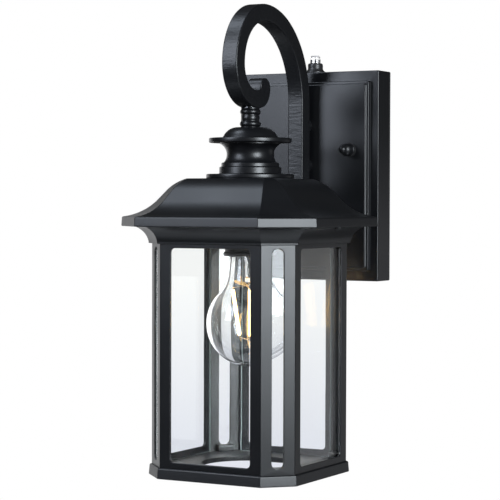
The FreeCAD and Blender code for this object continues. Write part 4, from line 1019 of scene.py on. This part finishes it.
def makeStrips():
    # A strip of glass stands in each post's slot, its rim hidden in the metal.
    v, s = cageValues, stripValues
    front = axisPoint[1] - cageHalf - cornerGain + s.inset
    x = v.slot / 2 + s.rim
    sheet = boxSheet((-x, front, cageLow[2] + v.slotFoot - s.rim),
                     (x, front + s.thick, cageHigh[2] - v.slotHead + s.rim), s.edge, 3)
    for k, title in enumerate(corners.values()):
        makePiece("strip" + title, [turnAbout(sheet, 45 + 90 * k)], "stripGlass", (), 30, True)


# finishes of the nodes that stay as they are
keptFinishes = {
    "coat": ["roof_screws"],
    "steel": ("base_screws top_ring_screws hanger_nipple nipple_washer nipple_nuts arm_screws "
              "mounting_bracket bracket_studs stud_locknuts").split(),
    "foam": ["wall_gasket"],
    "rubber": ["nut_washer_left", "nut_washer_right"],
    "earthGreen": ["ground_screw"],
    "phenolic": ["sensor_nut"],
    "steatite": ["socket_insulator"],
    "brass": ["centre_contact"],
    "vitrite": ["bulb_insulator"],
    "solder": ["bulb_contact"],
    "bulbGlass": ["bulb_stem"],
    "cell": ["sensor_cell"],
}
for finish, nodes in keptFinishes.items():
    for node in nodes:
        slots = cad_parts[node].data.materials
        slots.clear()
        slots.append(finishes[finish])
print("kept nodes finished")


studio = Values(
    aim=(0, 10, -60),      # what the lamps aim at, millimetres from the axis at height zero
    floorBelow=420.0,      # millimetres under the base
    floorRadius=760.0,
    floorColour=(0.86, 0.86, 0.86),
    floorWorn=(0.8342, 0.8342, 0.8342),
    ambient=0.08,          # what lights the object from all round
    glazed=0.75,           # the white as a mirrored view through glass shows it
    mirrored=0.05,         # what its gloss shows of the room
    haze=(0.79, 0.805, 0.88),    # what the white falls to behind the glass, low down
    hazeRange=(-0.127, -0.042),  # between these heights of a line of sight, as its sine
)
lamps = {
    # name: (azimuth, elevation, distance, width, height, radiance, colour), aimed at the middle of the lantern
    "rightBox": (62, 12, 1.15, 0.50, 0.70, 16.0, (0.87, 0.94, 1.0)),
    "leftBox": (-30, 27, 1.25, 0.45, 0.93, 8.3, (0.80, 0.87, 1.0)),
    "topBox": (-71, 63, 1.1, 0.30, 0.28, 8.0, (0.78, 0.87, 1.0)),
    "backLeftCard": (-126, -2, 1.3, 0.80, 0.85, 1.2, (0.97, 0.98, 1.0)),
    "backRightCard": (150, -9, 1.3, 0.50, 0.50, 0.42, (0.95, 0.97, 1.0)),
}


def makeFloor():
    # pale disc: rings of points round its centre, each ring joined to the one outside it
    count = 96
    angle = np.linspace(0, 2 * math.pi, count, endpoint=False)
    radius = np.array([0.0, 0.5, 1.0])[:, None] * studio.floorRadius
    z = baseLow[2] - studio.floorBelow + 0 * radius * angle
    verts = np.dstack([axisPoint + radius[..., None] * circle(angle), z]) * mm
    point = np.arange(count)
    aside = np.roll(point, -1)
    ring = np.stack([point, aside, aside + count, point + count], axis=1)
    mesh = bpy.data.meshes.new("floor")
    mesh.from_pydata(verts.reshape(-1, 3).tolist(), [], joined(ring, ring + count).tolist())
    f = Finish("floorPaint")
    shade = f.blend(f.noise(220, 3), studio.floorColour, studio.floorWorn)
    mesh.materials.append(f.surface(Base_Color=shade, Roughness=0.8))
    floor = linked("floor", mesh)


def makeLamps():
    # Each lamp faces the middle of the lantern from its azimuth, elevation and distance.
    middle = (np.array([0, axisPoint[1], 0]) + studio.aim) * mm
    for name, (turn, tilt, distance, width, height, radiance, colour) in lamps.items():
        data = bpy.data.lights.new(name, "AREA")
        data.shape, data.size, data.size_y, data.color = "RECTANGLE", width, height, colour
        data.energy = radiance * math.pi * width * height
        axes = sightAxes(turn, tilt)
        setUp(name, data, axes, middle + axes[2] * distance).visible_camera = False


def makeRoom():
    # White behind the object for the camera and through glass, a dimmer room for light and gloss. Behind glass
    # the white is dimmed after a mirror, and it falls to a pale haze in lines of sight that look down.
    world = bpy.data.worlds.new("room")
    world.use_nodes = True
    scene.world = world
    room = Writer(world.node_tree)
    camera, glossy, through, bounces = (room.node("LightPath", output=name) for name in (
        "Is Camera Ray", "Is Glossy Ray", "Is Transmission Ray", "Glossy Depth"))
    seen = bounces.math("MINIMUM", 1.0) * (studio.glazed - 1) + 1.0
    shown = (through * seen).math("MAXIMUM", camera)
    height = room.node("SeparateXYZ", {0: room.node("TexCoord", output="Generated")}, 2)
    low, high = studio.hazeRange
    level = room.node("MapRange", {0: height, 1: low, 2: high}).math("MAXIMUM", camera)
    dim, gloss, white = (
        room.node("Background", {"Color": colour, "Strength": strength}) for colour, strength in (
            ((1, 1, 1, 1), studio.ambient), ((1, 1, 1, 1), studio.mirrored),
            (room.blend(level, studio.haze, (1, 1, 1)), 1.0)))
    lit = room.node("MixShader", {0: glossy, 1: dim, 2: gloss})
    room.node("OutputWorld", {"Surface": room.node("MixShader", {0: shown, 1: lit, 2: white})})


for make in (makeRoof, makeCove, makeBase, makeCage, makeCap, makeSpool, makeArm, makePlate, makeNuts, makeBulb,
             makeScrew, makeFilaments, makeHolder, makeShell, makeSensor, makePanes, makeStrips, makeFloor,
             makeLamps, makeRoom):
    make()
    print(make.__name__, "done")
scene.view_settings.view_transform = "Standard"
